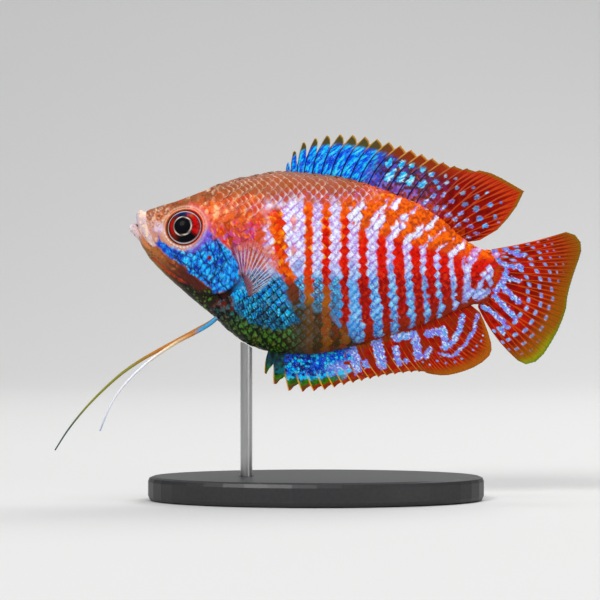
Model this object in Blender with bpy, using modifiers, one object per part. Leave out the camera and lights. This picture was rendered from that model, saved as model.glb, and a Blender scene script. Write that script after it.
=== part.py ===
# Male dwarf gourami, life size, swimming, held on a plain oval stand by one rod.
# Lengths are in millimetres here and are turned into metres where a mesh is made.
# The fish looks along -X, up is +Z, and the origin is under the middle of the base.

import math

import bmesh
import bpy
from mathutils import Vector, geometry

MM = 0.001
GAP = 0.3
SIDES = {"left": -1, "right": 1}
PARTS = "dwarf_gourami"
CUTTERS = "cutters"
SHARP_FROM_DEG = 40.0
FOR_THIN_CUTS = "MANIFOLD"  # the exact solver leaves the head, jaw and side fins open

# Body ribs from nose to tail: top point, bottom point, half width,
# and how far down from the top the rib is widest
RIBS = (
    ((-29.6, 47.2), (-29.8, 44.7), 1.25, 0.50),
    ((-28.8, 47.9), (-29.4, 43.0), 2.10, 0.52),
    ((-27.7, 48.6), (-28.2, 40.8), 2.75, 0.54),
    ((-26.0, 49.2), (-26.5, 38.8), 3.25, 0.54),
    ((-23.8, 49.8), (-24.5, 36.8), 3.75, 0.54),
    ((-21.3, 50.7), (-22.3, 34.8), 4.20, 0.54),
    ((-18.8, 51.7), (-20.0, 32.8), 4.60, 0.55),
    ((-16.2, 52.8), (-17.5, 30.9), 4.95, 0.55),
    ((-13.3, 53.7), (-14.7, 28.2), 5.20, 0.55),
    ((-10.2, 54.3), (-11.3, 25.8), 5.30, 0.56),
    ((-6.8, 54.9), (-7.7, 24.6), 5.25, 0.56),
    ((-3.5, 54.9), (-4.0, 24.2), 5.05, 0.56),
    ((0.3, 54.5), (-0.2, 24.2), 4.75, 0.55),
    ((4.5, 53.9), (4.3, 25.0), 4.35, 0.54),
    ((9.0, 52.7), (9.0, 26.2), 3.85, 0.53),
    ((13.5, 51.0), (13.7, 27.8), 3.30, 0.52),
    ((17.7, 49.2), (18.0, 29.2), 2.80, 0.51),
    ((21.3, 46.6), (21.7, 30.7), 2.30, 0.50),
    ((24.3, 43.9), (24.5, 31.9), 1.90, 0.50),
    ((26.8, 42.3), (26.3, 32.5), 1.60, 0.50),
    ((28.7, 41.8), (27.2, 32.4), 1.25, 0.50),
    ((30.0, 41.8), (27.7, 32.2), 0.80, 0.50),
)
RINGS_PER_RIB = 2
RING_POINTS = 28
BACK_KEEL = 1.18  # above 1 the back is sharper than an ellipse
BELLY_KEEL = 1.04

# Where the head ends, down the rear edge of the gill cover, from above the nape to below the chest
GILL_LINE = (
    (-15.2, 60.0),
    (-14.7, 53.2),
    (-13.8, 49.2),
    (-13.0, 44.2),
    (-12.4, 39.2),
    (-12.9, 36.3),
    (-14.5, 34.2),
    (-16.8, 32.6),
    (-18.7, 31.0),
    (-20.5, 24.0),
)
TAIL_CUT = ((21.8, 60.0), (23.4, 44.0), (23.6, 31.0), (23.0, 20.0))
GILL_PLATE = (
    (-16.4, 43.6),
    (-14.4, 44.6),
    (-11.5, 43.6),
    (-10.8, 39.0),
    (-12.0, 34.6),
    (-14.6, 33.2),
    (-17.4, 33.7),
    (-18.0, 35.6),
    (-16.9, 38.0),
    (-16.0, 40.6),
)
PLATE_STANDS_OUT = 0.25
PLATE_DEPTH = 0.75

# Mouth: the jaw seen from the side, its top edge being the slit, and each lip from the middle
# of the snout to the corner of the mouth, as points (x, half spread, z) with the lip's radius
JAW_OUTLINE = (
    (-34.0, 47.2),
    (-30.6, 46.4),
    (-29.4, 45.2),
    (-28.3, 43.9),
    (-27.0, 42.7),
    (-25.6, 41.2),
    (-24.2, 39.3),
    (-23.8, 38.2),
    (-24.4, 36.0),
    (-28.0, 32.0),
    (-34.0, 32.0),
)
UPPER_LIP = (
    ((-29.1, 0.0, 47.5), 0.82),
    ((-29.1, 0.85, 47.15), 0.82),
    ((-28.85, 1.55, 46.0), 0.76),
    ((-28.25, 2.05, 44.6), 0.64),
    ((-27.55, 2.35, 43.5), 0.52),
    ((-26.9, 2.5, 42.6), 0.38),
)
LOWER_LIP = (
    ((-30.25, 0.0, 45.35), 0.85),
    ((-30.05, 0.8, 45.05), 0.82),
    ((-29.3, 1.45, 44.0), 0.70),
    ((-28.4, 1.9, 42.8), 0.55),
    ((-27.7, 2.2, 41.9), 0.40),
)
LIP_STEPS = 3
LIP_RESOLUTION = 2

EYE_AT = (-22.2, 45.4)
EYE_RADIUS = 3.15
EYE_DEPTH = 1.8
EYE_SUNK = 0.95  # from the skin in to the middle of the ball
EYE_UP_DEG = 14.0
EYE_FORWARD_DEG = 8.0
EYE_RIM_RADIUS = 3.25
EYE_RIM_THICK = 0.42
NOSTRILS = ((-26.0, 47.2, 0.42), (-27.0, 47.7, 0.32))

# Fins: ray number, then where its base and its tip are. A spine is a ray with a free tip
DORSAL_RAYS = (
    (0, (-5.0, (-4.9, 55.9))),
    (1, (-4.2, (-3.8, 58.0))),
    (2, (-3.1, (-2.2, 59.6))),
    (3, (-2.0, (-0.2, 60.3))),
    (4, (-0.7, (1.8, 60.8))),
    (5, (0.8, (4.0, 61.0))),
    (6, (2.3, (6.1, 60.9))),
    (8, (5.5, (10.2, 60.2))),
    (10, (8.5, (14.1, 59.1))),
    (12, (11.7, (17.7, 57.7))),
    (15, (16.5, (23.1, 55.7))),
    (16, (17.8, (25.2, 55.3))),
    (18, (20.0, (29.2, 54.5))),
    (20, (21.7, (32.8, 52.6))),
    (21, (22.4, (34.7, 51.5))),
    (22, (23.1, (33.5, 49.0))),
    (24, (24.2, (30.2, 45.0))),
    (25, (24.7, (27.3, 43.3))),
)
ANAL_RAYS = (
    (0, (-7.8, (-8.6, 21.2))),
    (1, (-6.4, (-7.1, 19.4))),
    (2, (-5.1, (-4.6, 18.2))),
    (3, (-3.7, (-2.3, 18.0))),
    (4, (-2.2, (-0.4, 18.1))),
    (5, (-0.8, (1.4, 18.3))),
    (7, (1.8, (4.6, 19.1))),
    (9, (4.3, (7.6, 19.8))),
    (12, (8.3, (11.8, 20.7))),
    (16, (13.0, (17.2, 21.3))),
    (18, (14.8, (19.6, 20.9))),
    (20, (16.5, (22.1, 20.8))),
    (23, (19.0, (26.3, 22.1))),
    (25, (20.7, (28.9, 24.0))),
    (27, (22.5, (29.2, 26.2))),
    (29, (24.3, (28.0, 29.8))),
    (30, (25.3, (27.3, 31.3))),
)
CAUDAL_RAYS = (
    (0, ((41.7, 44.7),)),
    (1, ((43.2, 44.2),)),
    (2, ((44.1, 43.0),)),
    (3, ((44.2, 41.5),)),
    (5, ((43.3, 38.6),)),
    (7, ((42.3, 35.4),)),
    (8, ((41.9, 33.7),)),
    (9, ((41.7, 32.0),)),
    (11, ((40.3, 28.2),)),
    (13, ((38.0, 24.3),)),
    (14, ((36.6, 23.0),)),
    (15, ((35.0, 22.6),)),
    (16, ((33.7, 23.2),)),
)
PECTORAL_BASE = ((-12.1, 37.0), (-11.1, 33.7))
PECTORAL_RAYS = (
    (0, ((-13.6, 41.9),)),
    (1, ((-12.0, 42.8),)),
    (2, ((-10.2, 43.0),)),
    (3, ((-8.4, 42.4),)),
    (4, ((-6.8, 41.3),)),
    (5, ((-5.9, 39.8),)),
    (6, ((-6.2, 38.0),)),
    (7, ((-7.2, 36.4),)),
    (8, ((-8.6, 35.2),)),
)
PECTORAL_ROOT_IN = 0.3  # how far inside the skin the fin starts before the body is cut from it
PECTORAL_STUB = 0.9  # how far the fleshy root stands straight out
PECTORAL_FLARE = 0.8  # sideways for each millimetre that the fin reaches from its base

SPINES = 17  # in front of the soft rays, on the dorsal and on the anal fin
SOFT_EDGE = 0.985
DORSAL_NOTCHES = (
    (0, 0.1),
    (1, 0.15),
    (2, 0.3),
    (3, 0.47),
    (4, 0.57),
    (6, 0.76),
    (10, 0.88),
    (17, 0.95),
    (18, SOFT_EDGE),
    (25, SOFT_EDGE),
)
ANAL_NOTCHES = (
    (0, 0.3),
    (1, 0.45),
    (2, 0.66),
    (3, 0.8),
    (4, 0.86),
    (6, 0.9),
    (12, 0.94),
    (17, 0.96),
    (18, SOFT_EDGE),
    (30, SOFT_EDGE),
)
RAY_SHARE = 0.18  # of the space to the next ray, on each side
MEMBRANE_HALF = 0.25
MARGIN_HALF = 0.20
SPINE_TIP_HALF = 0.14

# Feelers: the thread-like ventral fins, from the chest to the tip
LEFT_FEELER = (
    (-16.0, -1.0, 30.9),
    (-17.6, -1.5, 29.4),
    (-19.9, -2.0, 28.0),
    (-22.6, -2.5, 26.6),
    (-25.0, -2.9, 25.1),
    (-27.4, -3.2, 23.4),
    (-29.7, -3.5, 21.4),
    (-31.6, -3.7, 19.4),
    (-33.1, -3.8, 17.4),
    (-34.4, -3.8, 15.0),
    (-35.7, -3.8, 11.7),
)
RIGHT_FEELER = (
    (-16.0, 1.0, 30.9),
    (-17.6, 1.5, 29.6),
    (-20.2, 2.0, 28.2),
    (-23.2, 2.6, 26.6),
    (-26.2, 3.1, 25.0),
    (-29.4, 3.6, 23.2),
    (-32.6, 4.1, 21.0),
    (-35.9, 4.5, 18.1),
    (-39.0, 4.8, 14.9),
    (-41.8, 5.0, 11.4),
    (-44.0, 5.1, 8.0),
)
FEELER_ROOT_RADIUS = 0.42
FEELER_TIP_RADIUS = 0.22
FEELER_STEPS = 3

# Stand
BASE_LENGTH = 56.0
BASE_WIDTH = 34.0
BASE_THICK = 4.0
BASE_EDGE = 0.8
BASE_CORNERS = 44
ROD_X = -11.6
ROD_RADIUS = 1.0
ROD_SOCKET_DEPTH = 2.8
ROD_SIDES = 24


def clear_scene():
    for obj in list(bpy.data.objects):
        bpy.data.objects.remove(obj)


def new_collection(name):
    made = bpy.data.collections.new(name)
    bpy.context.scene.collection.children.link(made)
    return made


def moved_to(obj, collection):
    for holder in obj.users_collection:
        holder.objects.unlink(obj)
    collection.objects.link(obj)


def finish(name, colour, roughness, metallic=0.0):
    material = bpy.data.materials.new(name)
    material.use_nodes = True
    shader = material.node_tree.nodes["Principled BSDF"]
    shader.inputs["Base Color"].default_value = (*colour, 1.0)
    shader.inputs["Roughness"].default_value = roughness
    shader.inputs["Metallic"].default_value = metallic
    return material


def mixed(a, b, share):
    """a and b are numbers or nested tuples of the same form."""
    if isinstance(a, tuple):
        return tuple(mixed(x, y, share) for x, y in zip(a, b))
    return a + (b - a) * share


def smooth_at(table, key):
    """A smooth curve through the rows (key, values), read at key."""
    last = len(table) - 1
    key = min(max(key, table[0][0]), table[last][0])
    i = max(n for n in range(last) if table[n][0] <= key)
    before, start, end, after = (table[min(max(i + n, 0), last)] for n in (-1, 0, 1, 2))
    span = end[0] - start[0]
    t = (key - start[0]) / span

    def through(p, a, b, q):
        if isinstance(a, tuple):
            return tuple(through(*four) for four in zip(p, a, b, q))
        slope_a = (b - p) / (end[0] - before[0]) * span
        slope_b = (q - a) / (after[0] - start[0]) * span
        return (
            (2 * t**3 - 3 * t**2 + 1) * a
            + (t**3 - 2 * t**2 + t) * slope_a
            + (3 * t**2 - 2 * t**3) * b
            + (t**3 - t**2) * slope_b
        )

    return through(before[1], start[1], end[1], after[1])


def numbered(points):
    """The points as rows that smooth_at can read."""
    return tuple(enumerate(points))


def rib_at(position):
    return smooth_at(numbered(RIBS), position)


def rib_point(rib, angle, grow=0.0):
    """A point on a rib, with the angle running from 0 at the back to pi at the belly."""
    top, bottom, half, widest = rib
    down = 1 - math.cos(angle) if angle < math.pi / 2 else -math.cos(angle)
    if angle < math.pi / 2:
        share = widest * down
        keel = BACK_KEEL
    else:
        share = widest + (1 - widest) * down
        keel = BELLY_KEEL
    height = math.dist(top, bottom)
    share += grow / height * (2 * share - 1)
    x, z = mixed(top, bottom, share)
    return x, (half + grow) * max(math.sin(angle), 0.0) ** keel, z


def body_rings(grow):
    last = len(RIBS) - 1
    half_ring = RING_POINTS // 2
    for step in range(last * RINGS_PER_RIB + 1):
        position = step / RINGS_PER_RIB
        rib = rib_at(position)
        shift = grow * (2 * position / last - 1)
        ring = []
        for n in range(RING_POINTS):
            side = -1 if n <= half_ring else 1
            x, y, z = rib_point(rib, math.pi * min(n, RING_POINTS - n) / half_ring, grow)
            ring.append(Vector((x + shift, side * y, z)) * MM)
        yield ring


def skin_half_width(x, z):
    """How far the skin is from the middle plane at a place seen from the side."""
    low, high = 0.0, len(RIBS) - 1.0
    for _ in range(40):
        middle = (low + high) / 2
        top, bottom, _, _ = rib_at(middle)
        share = (top[1] - z) / (top[1] - bottom[1])
        if mixed(top, bottom, share)[0] < x:
            low = middle
        else:
            high = middle
    top, bottom, half, widest = rib_at(low)
    share = min(max((top[1] - z) / (top[1] - bottom[1]), 0.0), 1.0)
    if share < widest:
        return half * math.sin(math.acos(1 - share / widest)) ** BACK_KEEL
    return half * math.sin(math.acos(-(share - widest) / (1 - widest))) ** BELLY_KEEL


def edge_height(x, of_back):
    """Height of the back line or the belly line at x."""
    low, high = 0.0, len(RIBS) - 1.0
    pick = 0 if of_back else 1
    for _ in range(40):
        middle = (low + high) / 2
        if rib_at(middle)[pick][0] < x:
            low = middle
        else:
            high = middle
    return rib_at(low)[pick][1]


def mesh_object(name, mesh):
    obj = bpy.data.objects.new(name, mesh)
    bpy.context.collection.objects.link(obj)
    return turn_faces_out(obj)


def mesh_of(name, points, faces):
    mesh = bpy.data.meshes.new(name)
    mesh.from_pydata([tuple(p) for p in points], [], faces)
    return mesh


def turn_faces_out(obj):
    shape = bmesh.new()
    shape.from_mesh(obj.data)
    bmesh.ops.recalc_face_normals(shape, faces=shape.faces)
    if shape.calc_volume(signed=True) < 0:
        bmesh.ops.reverse_faces(shape, faces=shape.faces)
    shape.to_mesh(obj.data)
    shape.free()
    return obj


def body_loft(name, grow=0.0):
    """The whole body as one closed skin, moved out by grow."""
    rings = list(body_rings(grow))
    points = [p for ring in rings for p in ring]
    faces = []
    for r in range(len(rings) - 1):
        for n in range(RING_POINTS):
            a = r * RING_POINTS + n
            b = r * RING_POINTS + (n + 1) % RING_POINTS
            faces.append((a, b, b + RING_POINTS, a + RING_POINTS))
    for ring_start in (0, (len(rings) - 1) * RING_POINTS):
        middle = sum(points[ring_start : ring_start + RING_POINTS], Vector()) / RING_POINTS
        points.append(middle)
        for n in range(RING_POINTS):
            faces.append((ring_start + n, ring_start + (n + 1) % RING_POINTS, len(points) - 1))
    return mesh_object(name, mesh_of(name, points, faces))


def line_moved(line, distance):
    """A line seen from the side, moved square to itself. Positive is to the left of its direction."""
    moved = []
    for n, point in enumerate(line):
        before = Vector(line[max(n - 1, 0)])
        after = Vector(line[min(n + 1, len(line) - 1)])
        along = (after - before).normalized()
        moved.append((point[0] - along.y * distance, point[1] + along.x * distance))
    return moved


def grown(outline, distance):
    """A closed outline, moved outwards."""
    around = [outline[-1], *outline, outline[0]]
    following = [*outline[1:], outline[0]]
    area = sum(a[0] * b[1] - b[0] * a[1] for a, b in zip(outline, following))
    return line_moved(around, -distance if area > 0 else distance)[1:-1]


def prism(name, outline, low_y, high_y):
    """An outline seen from the side, made solid from low_y to high_y."""
    shape = bmesh.new()
    corners = [shape.verts.new((x * MM, low_y * MM, z * MM)) for x, z in outline]
    face = shape.faces.new(corners)
    made = bmesh.ops.extrude_face_region(shape, geom=[face])
    moved = [v for v in made["geom"] if isinstance(v, bmesh.types.BMVert)]
    bmesh.ops.translate(shape, verts=moved, vec=(0, (high_y - low_y) * MM, 0))
    mesh = bpy.data.meshes.new(name)
    shape.to_mesh(mesh)
    shape.free()
    return mesh_object(name, mesh)


def applied(obj):
    """Takes the evaluated shape as the object's own mesh and drops its modifiers."""
    bpy.context.view_layer.update()
    graph = bpy.context.evaluated_depsgraph_get()
    obj.data = bpy.data.meshes.new_from_object(obj.evaluated_get(graph))
    obj.modifiers.clear()
    return obj


def boolean(obj, other, operation, solver="EXACT"):
    modifier = obj.modifiers.new(operation.lower(), "BOOLEAN")
    modifier.object = other
    modifier.operation = operation
    modifier.solver = solver
    applied(obj)
    bpy.data.objects.remove(other)
    return obj


def fused(obj, pieces, solver="EXACT"):
    """Joins the pieces to obj in one union."""
    group = new_collection(obj.name + "_pieces")
    for piece in pieces:
        moved_to(piece, group)
    modifier = obj.modifiers.new("union", "BOOLEAN")
    modifier.operand_type = "COLLECTION"
    modifier.collection = group
    modifier.operation = "UNION"
    modifier.solver = solver
    applied(obj)
    for piece in pieces:
        bpy.data.objects.remove(piece)
    bpy.data.collections.remove(group)
    return obj


def largest_only(obj):
    """Keeps the largest closed surface of the mesh."""
    shape = bmesh.new()
    shape.from_mesh(obj.data)
    left = set(shape.faces)
    islands = []
    while left:
        island, edge_of_search = set(), [left.pop()]
        while edge_of_search:
            face = edge_of_search.pop()
            island.add(face)
            for edge in face.edges:
                for neighbour in edge.link_faces:
                    if neighbour in left:
                        left.discard(neighbour)
                        edge_of_search.append(neighbour)
        islands.append(island)
    keep = max(islands, key=lambda faces: sum(face.calc_area() for face in faces))
    dropped = [face for island in islands if island is not keep for face in island]
    bmesh.ops.delete(shape, geom=dropped, context="FACES")
    loose = [v for v in shape.verts if not v.link_faces]
    bmesh.ops.delete(shape, geom=loose, context="VERTS")
    shape.to_mesh(obj.data)
    shape.free()
    return obj


def dressed(obj, material):
    """Gives a finished part its material and puts it with the other parts."""
    obj.data.materials.clear()
    obj.data.materials.append(material)
    obj.data.shade_smooth()
    obj.data.set_sharp_from_angle(angle=math.radians(SHARP_FROM_DEG))
    moved_to(obj, bpy.data.collections[PARTS])


def tube(name, points, radii, resolution):
    """A round tube along the points, as a closed mesh."""
    curve = bpy.data.curves.new(name, "CURVE")
    curve.dimensions = "3D"
    curve.bevel_depth = MM
    curve.bevel_resolution = resolution
    curve.use_fill_caps = True
    spline = curve.splines.new("POLY")
    spline.points.add(len(points) - 1)
    for place, point, radius in zip(spline.points, points, radii):
        place.co = (*(Vector(point) * MM), 1.0)
        place.radius = radius
    line = bpy.data.objects.new(name, curve)
    bpy.context.collection.objects.link(line)
    bpy.context.view_layer.update()
    graph = bpy.context.evaluated_depsgraph_get()
    mesh = bpy.data.meshes.new_from_object(line.evaluated_get(graph))
    bpy.data.objects.remove(line)
    shape = bmesh.new()
    shape.from_mesh(mesh)
    bmesh.ops.remove_doubles(shape, verts=shape.verts, dist=1e-6)
    shape.to_mesh(mesh)
    shape.free()
    return mesh_object(name, mesh)


def lip(name, half_path, grow=0.0):
    """A lip that runs from one corner of the mouth round the snout to the other."""
    left = [((x, -y, z), radius) for (x, y, z), radius in half_path[:0:-1]]
    path = numbered([*left, *half_path])
    steps = (len(path) - 1) * LIP_STEPS
    whole = [smooth_at(path, n / LIP_STEPS) for n in range(steps + 1)]
    return tube(name, [p for p, _ in whole], [r + grow for _, r in whole], LIP_RESOLUTION)


def ball(name, place, radii, segments, ring_count):
    """An ellipsoid with its poles up and down."""
    bpy.ops.mesh.primitive_uv_sphere_add(segments=segments, ring_count=ring_count, radius=MM)
    made = bpy.context.object
    made.name = name
    made.scale = radii
    made.location = Vector(place) * MM
    return settled(made)


def eye_frame(side):
    """Middle of the eyeball and the way that it looks."""
    x, z = EYE_AT
    up, forward = math.radians(EYE_UP_DEG), math.radians(EYE_FORWARD_DEG)
    way = Vector((-math.sin(forward), side * math.cos(forward) * math.cos(up), math.sin(up)))
    skin = Vector((x, side * skin_half_width(x, z), z))
    return skin, way.normalized()


def eyeball(name, side, grow=0.0):
    skin, way = eye_frame(side)
    radius = EYE_RADIUS + grow
    eye = ball(name, (0, 0, 0), (radius, radius, EYE_DEPTH + grow), 22, 12)
    eye.rotation_mode = "QUATERNION"
    eye.rotation_quaternion = way.to_track_quat("Z", "X")
    eye.location = (skin - way * EYE_SUNK) * MM
    return settled(eye)


def settled(obj):
    """Moves the object's place, turn and scale into its mesh."""
    bpy.context.view_layer.update()
    obj.data.transform(obj.matrix_world)
    obj.matrix_world.identity()
    obj.rotation_mode = "XYZ"
    obj.location = (0, 0, 0)
    obj.rotation_euler = (0, 0, 0)
    obj.scale = (1, 1, 1)
    return turn_faces_out(obj)


def eye_rim(side):
    skin, way = eye_frame(side)
    bpy.ops.mesh.primitive_torus_add(
        major_segments=24,
        minor_segments=8,
        major_radius=EYE_RIM_RADIUS * MM,
        minor_radius=EYE_RIM_THICK * MM,
    )
    rim = bpy.context.object
    rim.rotation_mode = "QUATERNION"
    rim.rotation_quaternion = way.to_track_quat("Z", "X")
    rim.location = (skin - way * EYE_RIM_THICK * 0.6) * MM
    return settled(rim)


def nostril_pit(side, x, z, radius):
    return ball("nostril", (x, side * skin_half_width(x, z), z), (radius, radius, radius), 8, 6)


def head_region(inset):
    """All that lies in front of the gill line."""
    line = line_moved(GILL_LINE, -inset)
    return prism("head_region", [(-60.0, 60.0), *line, (-60.0, 24.0)], -20.0, 20.0)


def make_gill_plate(name, side):
    inside, outside = 0.5, 12.0
    ends = sorted((side * inside, side * outside))
    plate = prism(name, rounded(GILL_PLATE), *ends)
    boolean(plate, head_region(GAP / 2), "INTERSECT")
    boolean(plate, body_loft("plate_skin", PLATE_STANDS_OUT), "INTERSECT")
    boolean(plate, body_loft("plate_inner", -PLATE_DEPTH), "DIFFERENCE")
    return largest_only(plate)


def rounded(outline, steps=3):
    """A closed outline, with a smooth curve through its points."""
    count = len(outline)
    around = [outline[n % count] for n in range(-1, count + 2)]
    table = tuple((n - 1, p) for n, p in enumerate(around))
    return [smooth_at(table, n / steps) for n in range(count * steps)]


def plate_pocket(side):
    ends = sorted((side * 0.5, side * 12.0))
    pocket = prism("plate_pocket", grown(rounded(GILL_PLATE), GAP), *ends)
    return boolean(pocket, body_loft("pocket_inner", -PLATE_DEPTH - GAP), "DIFFERENCE")


def make_head():
    head = boolean(body_loft("head"), head_region(GAP / 2), "INTERSECT")
    fused(head, [eye_rim(side) for side in SIDES.values()], FOR_THIN_CUTS)
    cutters = [
        prism("jaw_space", grown(JAW_OUTLINE, GAP / 2), -10.0, 10.0),
        lip("lower_lip_space", LOWER_LIP, GAP),
        lip("upper_lip_space", UPPER_LIP, GAP),
    ]
    for side in SIDES.values():
        cutters += [plate_pocket(side), eyeball("socket", side, GAP)]
        cutters += [nostril_pit(side, *place) for place in NOSTRILS]
    for cutter in cutters:
        boolean(head, cutter, "DIFFERENCE", FOR_THIN_CUTS)
    return largest_only(head)


def make_jaw():
    jaw = body_loft("lower_jaw")
    boolean(jaw, prism("jaw_part", grown(JAW_OUTLINE, -GAP / 2), -10.0, 10.0), "INTERSECT")
    fused(jaw, [lip("lower_lip", LOWER_LIP)], FOR_THIN_CUTS)
    boolean(jaw, lip("upper_lip_space", UPPER_LIP, GAP), "DIFFERENCE", FOR_THIN_CUTS)
    return largest_only(jaw)


def make_torso():
    torso = body_loft("torso")
    boolean(torso, head_region(-GAP / 2), "DIFFERENCE")
    boolean(torso, tail_region(-GAP / 2), "DIFFERENCE")
    return largest_only(torso)


def tail_region(inset):
    """All that lies behind the tail cut."""
    line = line_moved(TAIL_CUT, inset)
    return prism("tail_region", [*line, (60.0, 20.0), (60.0, 60.0)], -20.0, 20.0)


def make_tail_stalk():
    stalk = boolean(body_loft("tail_stalk"), tail_region(GAP / 2), "INTERSECT")
    return largest_only(stalk)


def ray_place(base, tip, bend, share):
    """A point along a ray, which bows to one side by bend of its length."""
    length = math.dist(base, tip)
    if length == 0:
        return base
    across = ((base[1] - tip[1]) / length, (tip[0] - base[0]) / length)
    bow = 4 * share * (1 - share) * bend * length
    x, z = mixed(base, tip, share)
    return x + across[0] * bow, z + across[1] * bow


def make_fin(name, ray_ends, last_ray, rows, bend, notch, behind, sway, root_half):
    """A fin as one closed body, with each ray a ridge that stands out of both faces of the membrane.

    ray_ends gives a ray's base and tip, notch says how far up a ray the membrane before it
    reaches, and behind how far up it the membrane after it starts. sway moves a place sideways.
    """
    shares = (0.0, RAY_SHARE, 0.5, 1 - RAY_SHARE)
    columns = [(ray, share) for ray in range(last_ray) for share in shares]
    columns.append((last_ray - 1, 1.0))
    front, back = [], []
    for ray, share in columns:
        low, high = notch(ray + 1), behind(ray)
        reach = {RAY_SHARE: high, 0.5: mixed(low, high, 0.4), 1 - RAY_SHARE: low}.get(share, 1.0)
        on_ray = share in (0.0, 1.0)
        for row in range(rows + 1):
            along = reach * row / rows
            here, there = (
                ray_place(*ray_ends(n), bend(n), along) for n in (ray, ray + 1)
            )
            x, z = mixed(here, there, share)
            half = MEMBRANE_HALF + (root_half - MEMBRANE_HALF) * (1 - along) ** 2
            if on_ray:
                half = root_half + (MEMBRANE_HALF * 1.2 - root_half) * along
            if row == rows:
                half = SPINE_TIP_HALF if on_ray else MARGIN_HALF
            middle = sway(x, z)
            front.append(Vector((x, middle - half, z)) * MM)
            back.append(Vector((x, middle + half, z)) * MM)
    return closed_sheet(name, front, back, len(columns), rows + 1)


def closed_sheet(name, front, back, columns, rows):
    """Two like grids of points joined round their edge, split into triangles alike."""
    faces = []
    behind = len(front)
    for c in range(columns - 1):
        for r in range(rows - 1):
            a, b = c * rows + r, (c + 1) * rows + r
            for p, q, s in ((a, b, b + 1), (a, b + 1, a + 1)):
                faces.append((p, q, s))
                faces.append((s + behind, q + behind, p + behind))
    rim = [c * rows for c in range(columns)]
    rim += [(columns - 1) * rows + r for r in range(1, rows)]
    rim += [c * rows + rows - 1 for c in range(columns - 2, -1, -1)]
    rim += [r for r in range(rows - 2, 0, -1)]
    for a, b in zip(rim, [*rim[1:], rim[0]]):
        faces.append((b, a, a + behind))
        faces.append((b, a + behind, b + behind))
    return mesh_object(name, mesh_of(name, front + back, faces))


def make_dorsal_fin():
    def ray_ends(n):
        base_x, tip = smooth_at(DORSAL_RAYS, n)
        return (base_x, edge_height(base_x, True) + GAP), tip

    def notch(n):
        return smooth_at(DORSAL_NOTCHES, n)

    def bend(n):
        return smooth_at(((0, 0.03), (5, 0.07), (15, 0.08), (21, 0.05), (25, 0.0)), n)

    ripple = fin_ripple(52.0, 8.0, 0.25)
    return make_fin("dorsal_fin", ray_ends, 25, 4, bend, notch, spine_or_ray, ripple, 0.55)


def make_anal_fin():
    def ray_ends(n):
        base_x, tip = smooth_at(ANAL_RAYS, n)
        return (base_x, edge_height(base_x, False) - GAP), tip

    def notch(n):
        return smooth_at(ANAL_NOTCHES, n)

    def bend(n):
        return smooth_at(((0, -0.05), (8, -0.04), (18, -0.06), (24, -0.08), (30, 0.0)), n)

    ripple = fin_ripple(26.0, -8.0, 0.2)
    return make_fin("anal_fin", ray_ends, 30, 4, bend, notch, spine_or_ray, ripple, 0.55)


def spine_or_ray(n):
    """How far up a ray the membrane behind it starts: a spine has a free tip and a soft ray doesn't."""
    return 0.93 if n < SPINES else SOFT_EDGE


def fin_ripple(root_z, reach, size):
    """A fin's free edge waves a little to each side, and its root doesn't."""

    def sway(x, z):
        out = min(max((z - root_z) / reach, 0.0), 1.0)
        return size * out * math.sin(x * 0.42)

    return sway


def make_caudal_fin():
    last = CAUDAL_RAYS[-1][0]

    upper, lower = line_moved(RIBS[-1][:2], GAP)

    def ray_ends(n):
        return mixed(upper, lower, n / last), smooth_at(CAUDAL_RAYS, n)[0]

    def sway(x, z):
        out = max(x - 30.0, 0.0) / 14.0
        return 0.35 * out * math.sin((z - 22.0) * 0.55)

    def bend(n):
        return smooth_at(((0, -0.02), (4, 0.0), (12, 0.0), (14, -0.02), (16, -0.055)), n)

    return make_fin("caudal_fin", ray_ends, last, 6, bend, soft_edge, soft_edge, sway, 0.5)


def soft_edge(n):
    return SOFT_EDGE


def gill_plate_space(side):
    """What a fin near the gill cover leaves free."""
    space = prism("plate_space", grown(rounded(GILL_PLATE), GAP), *sorted((side * 0.5, side * 12.0)))
    return boolean(space, body_loft("plate_skin", PLATE_STANDS_OUT + GAP), "INTERSECT")


def make_pectoral_fin(name, side):
    last = PECTORAL_RAYS[-1][0]
    upper, lower = PECTORAL_BASE
    root = skin_half_width(*mixed(upper, lower, 0.5)) - PECTORAL_ROOT_IN

    def ray_ends(n):
        return mixed(upper, lower, n / last), smooth_at(PECTORAL_RAYS, n)[0]

    def sway(x, z):
        nearest, share = geometry.intersect_point_line((x, z), upper, lower)
        if not 0 <= share <= 1:
            nearest = upper if share < 0 else lower
        out = math.dist((x, z), tuple(nearest)[:2])
        cupped = PECTORAL_FLARE * out - 0.03 * out * out
        return side * (root + PECTORAL_STUB * (1 - math.exp(-out / 0.35)) + cupped)

    fin = make_fin(name, ray_ends, last, 5, lambda n: 0.0, soft_edge, soft_edge, sway, 0.4)
    boolean(fin, body_loft("pectoral_clearance", GAP), "DIFFERENCE", FOR_THIN_CUTS)
    boolean(fin, gill_plate_space(side), "DIFFERENCE", FOR_THIN_CUTS)
    return largest_only(fin)


def make_feeler(name, path):
    count = (len(path) - 1) * FEELER_STEPS
    points = [smooth_at(numbered(path), n / FEELER_STEPS) for n in range(count + 1)]
    radii = [mixed(FEELER_ROOT_RADIUS, FEELER_TIP_RADIUS, n / count) for n in range(count + 1)]
    feeler = tube(name, points, radii, 2)
    boolean(feeler, body_loft("feeler_clearance", GAP), "DIFFERENCE")
    return largest_only(feeler)


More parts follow.
